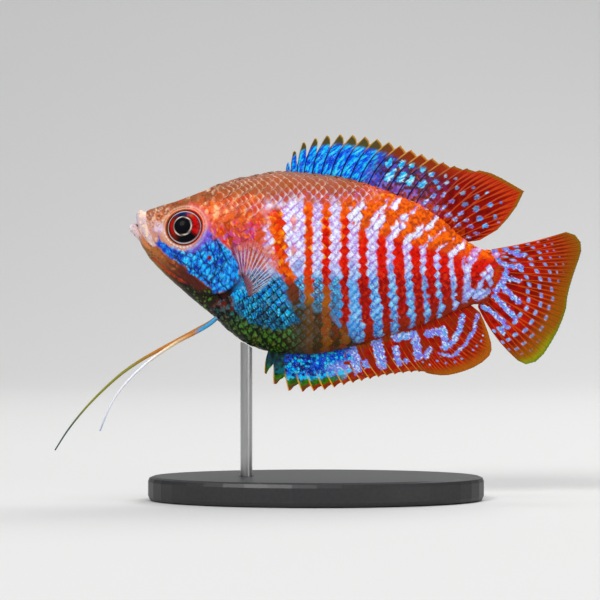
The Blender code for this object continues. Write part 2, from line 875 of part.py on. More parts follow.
def make_stand(metal, dark):
    bpy.ops.mesh.primitive_cylinder_add(vertices=BASE_CORNERS, radius=0.5, depth=1.0)
    base = bpy.context.object
    base.name = "stand_base"
    base.scale = (BASE_LENGTH * MM, BASE_WIDTH * MM, BASE_THICK * MM)
    base.location = (0, 0, BASE_THICK / 2 * MM)
    settled(base)
    edge = base.modifiers.new("edge", "BEVEL")
    edge.width = BASE_EDGE * MM
    edge.segments = 2
    edge.limit_method = "ANGLE"
    edge.angle_limit = math.radians(60)
    applied(base)
    socket = rod("socket", ROD_RADIUS + GAP, BASE_THICK - ROD_SOCKET_DEPTH - GAP, 2 * BASE_THICK)
    boolean(base, socket, "DIFFERENCE")
    dressed(base, dark)
    belly = edge_height(ROD_X, False)
    post = rod("stand_rod", ROD_RADIUS, BASE_THICK - ROD_SOCKET_DEPTH, belly + 2.0)
    boolean(post, body_loft("rod_clearance", GAP), "DIFFERENCE")
    dressed(largest_only(post), metal)


def rod(name, radius, low, high):
    bpy.ops.mesh.primitive_cylinder_add(
        vertices=ROD_SIDES, radius=radius * MM, depth=(high - low) * MM
    )
    post = bpy.context.object
    post.name = name
    post.location = (ROD_X * MM, 0, (low + high) / 2 * MM)
    return settled(post)


def main():
    clear_scene()
    new_collection(PARTS)
    new_collection(CUTTERS)
    layer = bpy.context.view_layer
    layer.active_layer_collection = layer.layer_collection.children[CUTTERS]

    flesh = finish("flesh", (0.75, 0.28, 0.13), 0.35)
    belly = finish("belly_and_jaw", (0.45, 0.30, 0.12), 0.40)
    cheek = finish("cheek_blue", (0.05, 0.35, 0.80), 0.30)
    lips = finish("lip_pale", (0.70, 0.60, 0.60), 0.40)
    eye = finish("eye_dark_red", (0.12, 0.02, 0.02), 0.08)
    fin = finish("fin_red", (0.65, 0.14, 0.06), 0.35)
    clear_fin = finish("pectoral_pink", (0.75, 0.50, 0.48), 0.35)
    thread = finish("feeler_amber", (0.80, 0.60, 0.20), 0.40)
    dark = finish("stand_dark", (0.03, 0.03, 0.032), 0.45)
    metal = finish("stand_steel", (0.60, 0.60, 0.60), 0.25, 1.0)

    dressed(make_head(), flesh)
    dressed(make_jaw(), belly)
    dressed(lip("upper_lip", UPPER_LIP), lips)
    dressed(make_torso(), flesh)
    dressed(make_tail_stalk(), flesh)
    dressed(make_dorsal_fin(), fin)
    dressed(make_anal_fin(), fin)
    dressed(make_caudal_fin(), fin)
    for word, side in SIDES.items():
        dressed(make_gill_plate("gill_cover_" + word, side), cheek)
        dressed(eyeball("eye_" + word, side), eye)
        dressed(make_pectoral_fin("pectoral_fin_" + word, side), clear_fin)
    dressed(make_feeler("feeler_left", LEFT_FEELER), thread)
    dressed(make_feeler("feeler_right", RIGHT_FEELER), thread)
    make_stand(metal, dark)


main()
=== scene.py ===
import math

import bmesh
import bpy
import numpy as np
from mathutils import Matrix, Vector


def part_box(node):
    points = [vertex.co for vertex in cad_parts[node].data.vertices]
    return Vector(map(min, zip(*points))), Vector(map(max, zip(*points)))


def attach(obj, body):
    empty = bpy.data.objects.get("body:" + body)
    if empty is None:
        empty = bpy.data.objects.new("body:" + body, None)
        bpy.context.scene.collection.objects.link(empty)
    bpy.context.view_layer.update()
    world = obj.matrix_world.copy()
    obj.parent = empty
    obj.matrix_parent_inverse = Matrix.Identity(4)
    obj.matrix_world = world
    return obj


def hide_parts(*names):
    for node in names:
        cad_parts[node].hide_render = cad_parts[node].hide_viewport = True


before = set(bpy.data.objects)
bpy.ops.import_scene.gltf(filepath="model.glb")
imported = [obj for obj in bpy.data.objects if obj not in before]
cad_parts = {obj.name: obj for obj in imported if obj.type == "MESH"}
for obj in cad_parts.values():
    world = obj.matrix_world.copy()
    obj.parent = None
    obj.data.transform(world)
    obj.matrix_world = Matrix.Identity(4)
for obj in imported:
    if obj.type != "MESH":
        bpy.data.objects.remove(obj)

# Lengths below are millimetres, and mm turns them into metres. The fish looks along -X
mm = 0.001
scene = bpy.context.scene
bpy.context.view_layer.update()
sides = {"left": -1.0, "right": 1.0}
print("frame loaded:", len(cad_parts), "nodes")

# Camera: a long lens, level, square to the fish's left side
photoView = {"lens": 150.0, "sensor": 36.0, "frameWidth": 100.0, "middleX": -2.667, "middleZ": 33.333}


def setCamera(view):
    camera = bpy.data.objects.new("camera", bpy.data.cameras.new("camera"))
    scene.collection.objects.link(camera)
    camera.data.lens = view["lens"]
    camera.data.sensor_width = view["sensor"]
    camera.data.clip_start = 0.01
    away = view["frameWidth"] * view["lens"] / view["sensor"]
    camera.location = Vector((view["middleX"], -away, view["middleZ"])) * mm
    camera.rotation_euler = (math.radians(90), 0, 0)
    scene.camera = camera


setCamera(photoView)
print("camera set")


# Small tools for arrays
def fade(low, high, value):
    t = np.clip((value - low) / (high - low), 0.0, 1.0)
    return t * t * (3 - 2 * t)


def bell(value, middle, width):
    return np.exp(-(((value - middle) / width) ** 2))


def smoothRows(keys, rows, at):
    # a smooth curve through rows of values, read at many places
    keys, rows = np.asarray(keys, float), np.asarray(rows, float)
    at = np.clip(at, keys[0], keys[-1])
    i = np.clip(np.searchsorted(keys, at, side="right") - 1, 0, len(keys) - 2)
    before, after = np.maximum(i - 1, 0), np.minimum(i + 2, len(keys) - 1)
    span = keys[i + 1] - keys[i]
    t = ((at - keys[i]) / span)[..., None]
    slopeIn = (rows[i + 1] - rows[before]) * (span / (keys[i + 1] - keys[before]))[..., None]
    slopeOut = (rows[after] - rows[i]) * (span / (keys[after] - keys[i]))[..., None]
    return (
        (2 * t**3 - 3 * t**2 + 1) * rows[i]
        + (t**3 - 2 * t**2 + t) * slopeIn
        + (3 * t**2 - 2 * t**3) * rows[i + 1]
        + (t**3 - t**2) * slopeOut
    )


noiseTable = 64


def noise(a, b, size, seed):
    # smooth noise from 0 to 1 with lumps of that size
    table = np.random.default_rng(seed).random((noiseTable, noiseTable))
    a, b = a / size, b / size
    i, j = np.floor(a).astype(int), np.floor(b).astype(int)
    u, v = a - i, b - j
    u, v = u * u * (3 - 2 * u), v * v * (3 - 2 * v)
    here, after = i % noiseTable, (i + 1) % noiseTable
    low, high = (table[here, k] * (1 - u) + table[after, k] * u
                 for k in (j % noiseTable, (j + 1) % noiseTable))
    return low * (1 - v) + high * v


def wander(a, b, size, seed):
    # the same noise, from half below 0 to half above it
    return noise(a, b, size, seed) - 0.5


def cellPattern(a, b, size, seed):
    # irregular cells of that size: how far the nearest border is, as a share, and a number for each cell
    table = np.random.default_rng(seed).random((3, noiseTable, noiseTable))
    a, b = a / size, b / size
    i, j = np.floor(a).astype(int), np.floor(b).astype(int)
    first, second, number = np.full(a.shape, 9.0), np.full(a.shape, 9.0), np.zeros(a.shape)
    for di in (-1, 0, 1):
        for dj in (-1, 0, 1):
            p, q = (i + di) % noiseTable, (j + dj) % noiseTable
            gap = np.hypot(i + di + 0.15 + 0.7 * table[0, p, q] - a, j + dj + 0.15 + 0.7 * table[1, p, q] - b)
            number = np.where(gap < first, table[2, p, q], number)
            second = np.minimum(second, np.maximum(gap, first))
            first = np.minimum(first, gap)
    return second - first, number


def turned(x, z, degrees):
    c, s = math.cos(math.radians(degrees)), math.sin(math.radians(degrees))
    return x * c + z * s, z * c - x * s


def nearLine(line, x, z):
    # distance to a line seen from the side, and how far along it that is
    corners = np.array(line, float)
    lengths = np.hypot(*(corners[1:] - corners[:-1]).T)
    best, along = np.full(x.shape, 1e9), np.zeros(x.shape)
    for n, length in enumerate(lengths):
        a, d = corners[n], corners[n + 1] - corners[n]
        t = np.clip(((x - a[0]) * d[0] + (z - a[1]) * d[1]) / length**2, 0, 1)
        gap = np.hypot(x - a[0] - t * d[0], z - a[1] - t * d[1])
        along = np.where(gap < best, (lengths[:n].sum() + t * length) / lengths.sum(), along)
        best = np.minimum(best, gap)
    return best, along


def insideOf(outline, x, z, soft):
    # 1 inside a closed outline and 0 outside, with an edge that fades over soft
    inside = np.zeros(x.shape, bool)
    for (ax, az), (bx, bz) in zip(outline, outline[1:] + outline[:1]):
        crosses = (az > z) != (bz > z)
        inside ^= crosses & (x < (bx - ax) * (z - az) / (bz - az + 1e-12) + ax)
    gap, _ = nearLine(outline + outline[:1], x, z)
    return fade(-soft, soft, np.where(inside, gap, -gap))


def levelAt(line, x):
    # height of a line that runs from left to right, read at x
    return np.interp(x, [p[0] for p in line], [p[1] for p in line])


# Colours, as they look in daylight, from 0 to 255
tones = {
    "backTan": (168, 88, 48), "backPink": (170, 92, 70), "napeBrown": (128, 70, 38),
    "peach": (204, 124, 76), "cream": (248, 214, 186), "heartOrange": (212, 76, 14),
    "heartBrown": (172, 66, 22), "backGrey": (148, 106, 90), "flame": (238, 98, 30),
    "flameDark": (204, 60, 18), "flameLight": (252, 182, 130), "orchid": (184, 92, 200),
    "iceBlue": (226, 246, 255), "iceCyan": (120, 226, 255), "fieldBlue": (44, 116, 236),
    "blush": (204, 68, 76), "deepViolet": (62, 44, 160), "speck": (84, 44, 34), "red": (226, 20, 2),
    "deepRed": (140, 8, 2), "orange": (244, 92, 8), "brightOrange": (255, 116, 4), "amber": (255, 176, 20),
    "white": (246, 250, 255), "lavender": (188, 170, 250), "magenta": (196, 78, 176),
    "sky": (108, 184, 255), "azure": (10, 150, 250), "redBrown": (150, 42, 6), "ochre": (172, 96, 14),
    "bellyBlack": (22, 18, 16), "bellyOlive": (84, 62, 22), "leafGreen": (86, 146, 36),
    "mossGreen": (34, 62, 26), "teal": (0, 108, 122), "cobalt": (0, 62, 206), "cyan": (20, 190, 250),
    "crack": (14, 16, 62), "violet": (124, 84, 214), "pink": (216, 92, 104), "lipPale": (212, 184, 186),
    "lipBlue": (164, 184, 214), "lipWhite": (244, 240, 246), "jawGold": (176, 108, 56),
    "jawBrown": (112, 60, 36), "slitRed": (184, 58, 20), "oliveGold": (122, 94, 22), "maroon": (74, 26, 22),
    "rust": (212, 58, 16), "lilac": (186, 164, 218), "snoutPink": (206, 150, 134),
    "mouthDark": (58, 20, 18), "finRed": (164, 18, 2), "finDark": (116, 4, 0), "finUmber": (84, 46, 44),
    "rayOrange": (202, 78, 8), "finBrown": (138, 44, 6), "marginOlive": (140, 96, 4),
    "marginGreen": (98, 128, 18), "finBlue": (0, 92, 240), "finCyan": (0, 208, 255), "finNavy": (14, 8, 74),
    "tipOlive": (80, 74, 40), "tipGold": (214, 158, 64), "plum": (70, 28, 84), "spotBlue": (84, 180, 250),
    "spotLavender": (136, 126, 238), "fernGreen": (52, 118, 6), "tileCyan": (0, 200, 255),
    "gapNavy": (4, 8, 36), "rimGreen": (150, 158, 16), "stripeBrown": (92, 46, 26),
    "fleshMauve": (170, 110, 130), "rayMilk": (224, 206, 216), "feelerBlue": (60, 160, 214),
    "feelerCream": (240, 214, 170), "feelerWhite": (240, 240, 250), "feelerOrange": (196, 120, 30),
    "feelerOlive": (140, 136, 30), "feelerGrey": (70, 90, 84), "irisBlack": (10, 10, 16),
    "irisRed": (204, 8, 4), "irisBrown": (110, 30, 12), "ringCream": (238, 220, 206),
    "orbitOrange": (206, 110, 60), "skyPale": (110, 150, 190),
}


def linearTone(rgb):
    share = np.array(rgb, float) / 255
    return np.where(share < 0.04045, share / 12.92, ((share + 0.055) / 1.055) ** 2.4)


tones = {name: linearTone(rgb) for name, rgb in tones.items()}


def toneOf(colour):
    return tones[colour] if isinstance(colour, str) else colour


def over(colour, *layers):
    # a colour with tones or other colours laid over it in turn, each by its share from 0 to 1
    colour = toneOf(colour)
    for layer, share in layers:
        colour = colour + (toneOf(layer) - colour) * np.clip(share, 0, 1)[..., None]
    return colour


# Body form: the same ribs as the solid, from the nose to the tail. Each has its top x and z,
# its bottom x and z, its half width, and how far down it is widest
ribs = np.array([
    (-29.6, 47.2, -29.8, 44.7, 1.25, 0.50), (-28.8, 47.9, -29.4, 43.0, 2.10, 0.52),
    (-27.7, 48.6, -28.2, 40.8, 2.75, 0.54), (-26.0, 49.2, -26.5, 38.8, 3.25, 0.54),
    (-23.8, 49.8, -24.5, 36.8, 3.75, 0.54), (-21.3, 50.7, -22.3, 34.8, 4.20, 0.54),
    (-18.8, 51.7, -20.0, 32.8, 4.60, 0.55), (-16.2, 52.8, -17.5, 30.9, 4.95, 0.55),
    (-13.3, 53.7, -14.7, 28.2, 5.20, 0.55), (-10.2, 54.3, -11.3, 25.8, 5.30, 0.56),
    (-6.8, 54.9, -7.7, 24.6, 5.25, 0.56), (-3.5, 54.9, -4.0, 24.2, 5.05, 0.56),
    (0.3, 54.5, -0.2, 24.2, 4.75, 0.55), (4.5, 53.9, 4.3, 25.0, 4.35, 0.54),
    (9.0, 52.7, 9.0, 26.2, 3.85, 0.53), (13.5, 51.0, 13.7, 27.8, 3.30, 0.52),
    (17.7, 49.2, 18.0, 29.2, 2.80, 0.51), (21.3, 46.6, 21.7, 30.7, 2.30, 0.50),
    (24.3, 43.9, 24.5, 31.9, 1.90, 0.50), (26.8, 42.3, 26.3, 32.5, 1.60, 0.50),
    (28.7, 41.8, 27.2, 32.4, 1.25, 0.50), (30.0, 41.8, 27.7, 32.2, 0.80, 0.50),
])
ribCount = len(ribs)
keels = {"back": 1.18, "belly": 1.04}


def bodyPoint(rib, angle, grow=0.0):
    # angle goes from 0 at the back over the left side to pi at the belly, then up the right side
    topX, topZ, lowX, lowZ, half, widest = np.moveaxis(smoothRows(np.arange(ribCount), ribs, rib), -1, 0)
    a = np.minimum(angle, 2 * math.pi - angle)
    upper = a < math.pi / 2
    down = np.where(upper, 1 - np.cos(a), -np.cos(a))
    share = np.where(upper, widest * down, widest + (1 - widest) * down)
    share = share + grow / np.hypot(topX - lowX, topZ - lowZ) * (2 * share - 1)
    keel = np.where(upper, keels["back"], keels["belly"])
    width = (half + grow) * np.maximum(np.sin(a), 0) ** keel
    y = np.where(angle <= math.pi, -width, width)
    return np.stack([topX + (lowX - topX) * share, y, topZ + (lowZ - topZ) * share], -1)


def ribAt(x, z):
    # which rib passes through a place seen from the side, and how far down it that place is
    low, high = np.zeros(x.shape), np.full(x.shape, ribCount - 1.0)
    for _ in range(30):
        middle = (low + high) / 2
        topX, topZ, lowX, lowZ, _, _ = np.moveaxis(smoothRows(np.arange(ribCount), ribs, middle), -1, 0)
        share = (topZ - z) / (topZ - lowZ)
        isAhead = topX + (lowX - topX) * share < x
        low, high = np.where(isAhead, middle, low), np.where(isAhead, high, middle)
    return low, np.clip(share, 0, 1)


def skinHalfWidth(x, z):
    x, z = np.atleast_1d(np.asarray(x, float)), np.atleast_1d(np.asarray(z, float))
    rib, share = ribAt(x, z)
    half, widest = np.moveaxis(smoothRows(np.arange(ribCount), ribs, rib), -1, 0)[4:]
    above = np.sin(np.arccos(np.clip(1 - share / widest, -1, 1))) ** keels["back"]
    below = np.sin(np.arccos(np.clip(-(share - widest) / (1 - widest), -1, 1))) ** keels["belly"]
    return half * np.where(share < widest, above, below)


def edgeHeight(x, isBack):
    # height of the back line, or of the belly line, at x
    column = 0 if isBack else 2
    fine = smoothRows(np.arange(ribCount), ribs, np.linspace(0, ribCount - 1, 400))
    return np.interp(x, fine[:, column], fine[:, column + 1])


def linkedMesh(name, points, faces):
    mesh = bpy.data.meshes.new(name)
    mesh.from_pydata(np.asarray(points, float) * mm, [], faces)
    mesh.shade_smooth()
    piece = bpy.data.objects.new(name, mesh)
    scene.collection.objects.link(piece)
    return piece


def readVectors(data, key):
    values = np.zeros(len(data) * 3, np.float32)
    data.foreach_get(key, values)
    return values.reshape(-1, 3).astype(float)


def keepVectors(mesh, name, vectors):
    data = mesh.attributes.new(name, "FLOAT_VECTOR", "POINT").data
    data.foreach_set("vector", vectors.astype(np.float32).ravel())


def withPoles(values):
    # the values of a closed body's rings, with one more for each pole
    return np.concatenate([values, values[[0, -1]]])


def rimOf(grid):
    # the numbers round the border of a grid of numbers
    return np.concatenate([grid[0], grid[1:, -1], grid[-1, -2::-1], grid[-2:0:-1, 0]])


def keepPaint(mesh, colour, gleam, clear=None):
    tint = mesh.attributes.new("tint", "FLOAT_COLOR", "POINT")
    tint.data.foreach_set("color", np.c_[colour, np.ones(len(colour))].astype(np.float32).ravel())
    mesh.attributes.new("gleam", "FLOAT", "POINT").data.foreach_set("value", gleam.astype(np.float32))
    if clear is not None:
        mesh.attributes.new("clear", "FLOAT", "POINT").data.foreach_set("value", clear.astype(np.float32))


def gridNormals(points):
    # outward directions of a grid whose columns close round the body
    along = np.gradient(points, axis=0)
    around = np.roll(points, -1, axis=1) - np.roll(points, 1, axis=1)
    normal = np.cross(around, along)
    return normal / np.maximum(np.linalg.norm(normal, axis=-1, keepdims=True), 1e-9)


# Eyes: middle and direction, from where the solid eyes are
eyePlan = {
    "upDeg": 14.0, "forwardDeg": 8.0, "radius": 3.0, "depth": 1.8, "rearward": 0.4, "fit": 0.985,
    "rows": 44, "around": 96, "rearOpen": 0.4, "irisBack": 0.22, "irisDown": 0.03,
}


def eyeAxis(word):
    low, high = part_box("eye_" + word)
    up, forward = math.radians(eyePlan["upDeg"]), math.radians(eyePlan["forwardDeg"])
    way = Vector((-math.sin(forward), sides[word] * math.cos(forward) * math.cos(up), math.sin(up)))
    return np.array((low + high) / 2) / mm + (eyePlan["rearward"], 0, 0), np.array(way.normalized())


eyes = {word: eyeAxis(word) for word in sides}

# Lips: a line from the middle of the snout to the corner of the mouth, with the lip's radius
lipPlan = {
    "upper": (
        (-29.1, 0.0, 47.5, 0.82), (-29.1, 0.85, 47.15, 0.82), (-28.85, 1.55, 46.0, 0.76),
        (-28.25, 2.05, 44.6, 0.62), (-27.55, 2.35, 43.5, 0.46), (-26.9, 2.5, 42.6, 0.25),
    ),
    "lower": (
        (-30.25, 0.0, 45.35, 0.86), (-30.05, 0.8, 45.05, 0.84), (-29.3, 1.45, 44.0, 0.62),
        (-28.4, 1.9, 42.8, 0.42), (-27.7, 2.2, 41.9, 0.22),
    ),
    "middleOfHead": (-26.0, 0.0, 45.0),
}


def lipLine(rows):
    rows = np.array(rows)
    whole = np.concatenate([rows[:0:-1] * (1, -1, 1, 1), rows])
    return smoothRows(np.arange(len(whole)), whole, np.linspace(0, len(whole) - 1, 61))


def raisedToTube(points, away, line):
    # how far each point moves along its direction to lie on the outside of a round lip
    lift = np.zeros(len(points))
    for _ in range(4):
        at = points + away * lift[:, None]
        nearest = ((at[:, None] - line[None, :, :3]) ** 2).sum(-1).argmin(1)
        middle, radius = line[nearest, :3], line[nearest, 3]
        back = ((points - middle) * away).sum(1)
        inside = back**2 - ((points - middle) ** 2).sum(1) + radius**2
        lift = np.where(inside > 0, np.maximum(-back + np.sqrt(np.maximum(inside, 0)), 0), lift * 0.5)
    return np.where(inside > 0, lift, 0)


# Markings, shared by the skin and the scales
markPlan = {
    "bars": (-1.25, 1.67, 4.67, 7.67, 10.75, 13.63, 16.4, 18.78, 21.13, 23.55),
    "barHalf": 0.72, "beadPitch": 1.62,
    "backLine": ((-31, 49.0), (-24, 47.6), (-19, 48.4), (-15, 47.7), (-10, 47.9), (-6.8, 48.7), (-4, 49.7),
                 (4, 49.6), (9, 50.2), (13, 52.0)),
    "firstBar": ((33.0, -3.8), (35.4, -4.1), (37.3, -4.8), (38.5, -5.4), (40.0, -6.0), (42.0, -6.3),
                 (48.5, -6.4)),
    "barTop": ((-12, 47.4), (-4, 49.2), (0, 49.9), (4.4, 49.7), (6.0, 45.4), (10, 44.0), (14, 43.2),
               (18, 41.9), (23, 40.6), (30, 40.0)),
    "barFoot": ((-5, 28.6), (0, 27.6), (4, 26.9), (6, 26.5), (9.2, 26.8), (12.7, 28.0), (15.5, 29.2),
                (17.5, 29.1), (20.3, 30.3), (24.2, 32.7), (30, 34.5)),
    "stalkLines": (
        (((27.6, 41.9), (26.3, 40.7), (25.3, 38.8), (25.0, 36.0), (24.6, 33.4)), 0.56),
        (((29.0, 38.9), (28.7, 37.2), (29.3, 35.6)), 0.42),
        (((28.1, 37.6), (27.3, 36.2), (27.0, 34.6)), 0.40),
        (((25.0, 35.0), (27.0, 33.9), (29.3, 35.2)), 0.52), (((29.9, 41.4), (30.6, 40.0)), 0.40),
    ),
    "bellyLine": ((-20, 34.8), (-13, 32.6), (-8, 31.6), (-3, 32.8), (1, 31.6), (4, 29.4), (7, 26.6),
                  (12, 22.0)),
    "cheek": [
        (-26.1, 43.7), (-25.5, 43.0), (-23.9, 42.2), (-21.8, 41.7), (-20.0, 42.3), (-18.6, 44.2),
        (-17.7, 45.1), (-17.2, 43.8), (-14.9, 42.2), (-13.5, 40.4), (-12.6, 38.6), (-12.4, 37.2),
        (-12.8, 36.2), (-14.2, 35.0), (-16.6, 34.5), (-17.6, 35.6), (-19.8, 37.2), (-21.7, 38.7),
        (-24.3, 40.6), (-26.5, 42.8),
    ],
    "tiles": [
        (-12.2, 37.5), (-9.4, 38.2), (-5.6, 36.8), (-4.9, 33.0), (-3.2, 30.0), (-6.0, 28.8), (-10.5, 29.6),
        (-13.2, 32.0), (-13.6, 34.6),
    ],
    "flush": [
        (-18.6, 47.6), (-12.5, 48.2), (-7.5, 47.8), (-7.8, 44.6), (-8.6, 42.2), (-7.6, 40.6), (-7.8, 38.8),
        (-11.6, 37.9), (-13.0, 38.2), (-14.0, 41.0), (-16.2, 42.6), (-18.2, 45.2),
    ],
    "flames": [
        (-19.5, 46.9), (-20.4, 48.6), (-16.5, 50.2), (-11.5, 50.9), (-8.8, 50.4), (-9.0, 47.0),
        (-12.0, 46.4), (-16.5, 46.2),
    ],
}

# Skin: rings round the body, close together on the head, with the lips and plates raised from it
skinPlan = {
    "ringPoints": 312, "mouthRings": 20, "lipRings": 62, "headRings": 124, "bodyRings": 98,
    "lipEnd": 2.8, "headEnd": 8.5, "inset": 0.20, "mouthEnd": 4.2, "lipPaintEnd": 4.5, "reliefEnd": 9.5,
    "throat": (-28.3, 0.0, 46.35),
    "gillEdge": (
        (-14.9, 45.6), (-14.1, 42.6), (-13.4, 40.5), (-12.6, 39.2), (-12.35, 37.7), (-12.7, 36.5),
        (-14.0, 35.2), (-15.8, 34.25), (-17.5, 34.0), (-19.4, 34.5), (-22.0, 36.1), (-25.0, 38.4),
    ),
    "gillInside": [
        (-20.0, 46.0), (-14.9, 45.6), (-14.1, 42.6), (-13.4, 40.5), (-12.6, 39.2), (-12.35, 37.7),
        (-12.7, 36.5), (-14.0, 35.2), (-15.8, 34.25), (-17.5, 34.0), (-19.4, 34.5), (-22.0, 36.1),
        (-25.0, 38.4), (-26.0, 40.0),
    ],
    "plateCracks": (
        ((-17.0, 45.0), (-16.3, 42.9), (-15.7, 41.0), (-16.3, 39.1), (-16.9, 37.6), (-17.2, 35.6)),
        ((-13.9, 40.4), (-15.9, 38.2), (-16.9, 37.0)),
        ((-24.6, 41.0), (-22.0, 39.6), (-19.8, 38.0), (-17.6, 36.2)),
        ((-18.6, 44.0), (-18.9, 42.4), (-20.4, 41.0), (-23.0, 40.8)),
    ),
    "jawFold": ((-27.1, 42.9), (-26.0, 41.4), (-24.3, 39.3), (-22.6, 37.7), (-20.6, 36.0)),
    "chinFold": ((-27.0, 40.3), (-24.8, 38.3), (-22.9, 36.9), (-21.3, 35.9)),
    "chinStrip": [(-25.6, 42.0), (-21.7, 38.9), (-17.4, 35.2), (-19.6, 34.8), (-24.2, 38.6), (-26.6, 41.6)],
    "jawTop": ((-30, 44.6), (-27.1, 42.9), (-24.3, 39.3), (-20.6, 36.3), (-18.5, 35.8), (-16, 34.4)),
    "nostrils": ((-26.0, 47.15, 0.30), (-27.0, 47.6, 0.20)),
}


def eyeRadius(points, word):
    middle, way = eyes[word]
    reach = points - middle
    along = (reach * way).sum(-1)
    return np.linalg.norm(reach - along[..., None] * way, axis=-1), along


def cheekCells(x, z):
    # the scales of the cheek, which lie in slanting, uneven rows
    a, b = turned(x + 0.5 * noise(x, z, 0.7, 58), z + 0.4 * noise(x, z, 0.6, 67), 40)
    return cellPattern(a * 0.75, b * 1.25, 1.25, 57)


def crackGap(crack, x, z):
    # distance to a crack that wanders a little
    return nearLine(crack, x + 0.8 * wander(x, z, 0.8, 70), z + 0.8 * wander(x, z, 0.8, 74))


def headRelief(points):
    # how far the skin of the head stands out or in, from its folds, plates and pits
    x, z = points[..., 0], points[..., 2]
    plan = skinPlan
    lift = np.zeros(x.shape)
    gill = insideOf(plan["gillInside"], x, z, 0.16)
    front = fade(-22.5, -17.0, x)
    lift += 0.30 * gill * front
    cheek = insideOf(markPlan["cheek"], x, z, 0.3)
    border, number = cheekCells(x, z)
    lift += cheek * (0.09 * fade(0.0, 0.35, border) - 0.05 + 0.05 * (number - 0.5))
    edge, _ = nearLine(plan["gillEdge"], x, z)
    lift -= 0.16 * bell(edge, 0.0, 0.22) * (1 - gill) * front
    for crack in plan["plateCracks"]:
        gap, along = crackGap(crack, x, z)
        lift -= 0.10 * bell(gap, 0.0, 0.13) * fade(0, 0.1, along) * fade(1, 0.9, along)
    for fold, depth in (("jawFold", 0.22), ("chinFold", 0.16)):
        gap, along = nearLine(plan[fold], x, z)
        lift -= depth * bell(gap, 0.0, 0.16) * fade(1.0, 0.6, along)
        lift += 0.4 * depth * bell(gap, 0.55, 0.3) * fade(1.0, 0.6, along)
    for nx, nz, radius in plan["nostrils"]:
        gap = np.hypot(x - nx, z - nz)
        lift += 0.24 * bell(gap, radius * 1.25, radius * 0.55) - 0.30 * fade(radius, radius * 0.4, gap)
    lumps = noise(x, z, 0.9, 4) - 0.5 + 0.5 * wander(x, z, 0.4, 5)
    lift += 0.07 * lumps * fade(-13.0, -17.0, x) * (1 - gill * front)
    for word, side in sides.items():
        radius, _ = eyeRadius(points, word)
        onSide = (points[..., 1] * side > 0) & (radius < 6)
        bowl = -0.15 - 1.25 * fade(3.05, 2.45, radius)
        rim = 0.26 * bell(radius, 3.18, 0.15) + 0.08 * bell(radius, 3.6, 0.25)
        share = fade(3.1, 2.92, radius)
        lift = np.where(onSide, lift * (1 - share * 0.9) + bowl * share + rim, lift)
    return lift


def buildSkin(plan):
    count = plan["ringPoints"]
    angles = np.arange(count) * 2 * math.pi / count
    rows = np.concatenate([
        np.linspace(0, plan["lipEnd"], plan["lipRings"]),
        np.linspace(plan["lipEnd"], plan["headEnd"], plan["headRings"])[1:],
        np.linspace(plan["headEnd"], ribCount - 1, plan["bodyRings"])[1:],
    ])
    ribGrid, angleGrid = np.meshgrid(rows, angles, indexing="ij")
    points = bodyPoint(ribGrid, angleGrid, -plan["inset"])
    funnel = (np.arange(1, plan["mouthRings"]) / plan["mouthRings"])[:, None, None]
    throat = np.array(plan["throat"])
    points = np.concatenate([throat + (points[:1] - throat) * funnel**0.8, points])
    ribGrid = np.concatenate([np.zeros((plan["mouthRings"] - 1, count)), ribGrid])

    middle = np.array(lipPlan["middleOfHead"])
    away = points - middle
    away /= np.linalg.norm(away, axis=-1, keepdims=True)
    nearMouth = ribGrid[:, 0] < plan["mouthEnd"]
    lipped = np.zeros(points.shape[:2])
    for name in ("upper", "lower"):
        part = points[nearMouth].reshape(-1, 3)
        lift = raisedToTube(part, away[nearMouth].reshape(-1, 3), lipLine(lipPlan[name]))
        lipped[nearMouth] = np.maximum(lipped[nearMouth], lift.reshape(-1, count))
    for _ in range(3):
        spread = np.roll(lipped, 1, 1) + np.roll(lipped, -1, 1)
        spread[1:-1] += lipped[2:] + lipped[:-2]
        spread[1:-1] /= 4
        lipped[1:-1] = (lipped[1:-1] + spread[1:-1]) / 2
    points = points + away * lipped[..., None]
    onHead = ribGrid[:, 0] < plan["reliefEnd"]
    normals = gridNormals(points)
    relief = headRelief(points) * fade(0.02, 0.5, ribGrid) * fade(0.5, 0.1, lipped)
    points[onHead] += (normals * relief[..., None])[onHead]
    return points, ribGrid, lipped


def ringShell(name, points, first, last):
    # a closed body from rings of points, with a pole at each end
    rows, count, _ = points.shape
    a = np.arange(rows - 1)[:, None] * count + np.arange(count)[None]
    b = np.arange(rows - 1)[:, None] * count + (np.arange(count)[None] + 1) % count
    faces = np.stack([a, b, b + count, a + count], -1).reshape(-1, 4).tolist()
    for start, pole, flip in ((0, rows * count, True), ((rows - 1) * count, rows * count + 1, False)):
        for n in range(count):
            pair = (start + n, start + (n + 1) % count)
            faces.append((pair[1], pair[0], pole) if flip else (*pair, pole))
    return linkedMesh(name, np.concatenate([points.reshape(-1, 3), [first, last]]), faces)


def facesOut(mesh):
    shape = bmesh.new()
    shape.from_mesh(mesh)
    if shape.calc_volume(signed=True) < 0:
        bmesh.ops.reverse_faces(shape, faces=shape.faces)
        shape.to_mesh(mesh)
    shape.free()


def levelBehindGill(z):
    # x of the edge of the gill cover at a height
    return np.interp(z, [30, 34.2, 35.2, 36.5, 37.7, 39.2, 40.5, 42.6, 45.6, 50],
                     [-18.8, -15.8, -14.0, -12.7, -12.35, -12.6, -13.4, -14.1, -14.9, -15.5])


def headCover(x, z):
    soft = np.interp(z, [43, 47], [0.22, 2.2])
    edge = levelBehindGill(z)
    return fade(edge + soft, edge - soft, x)


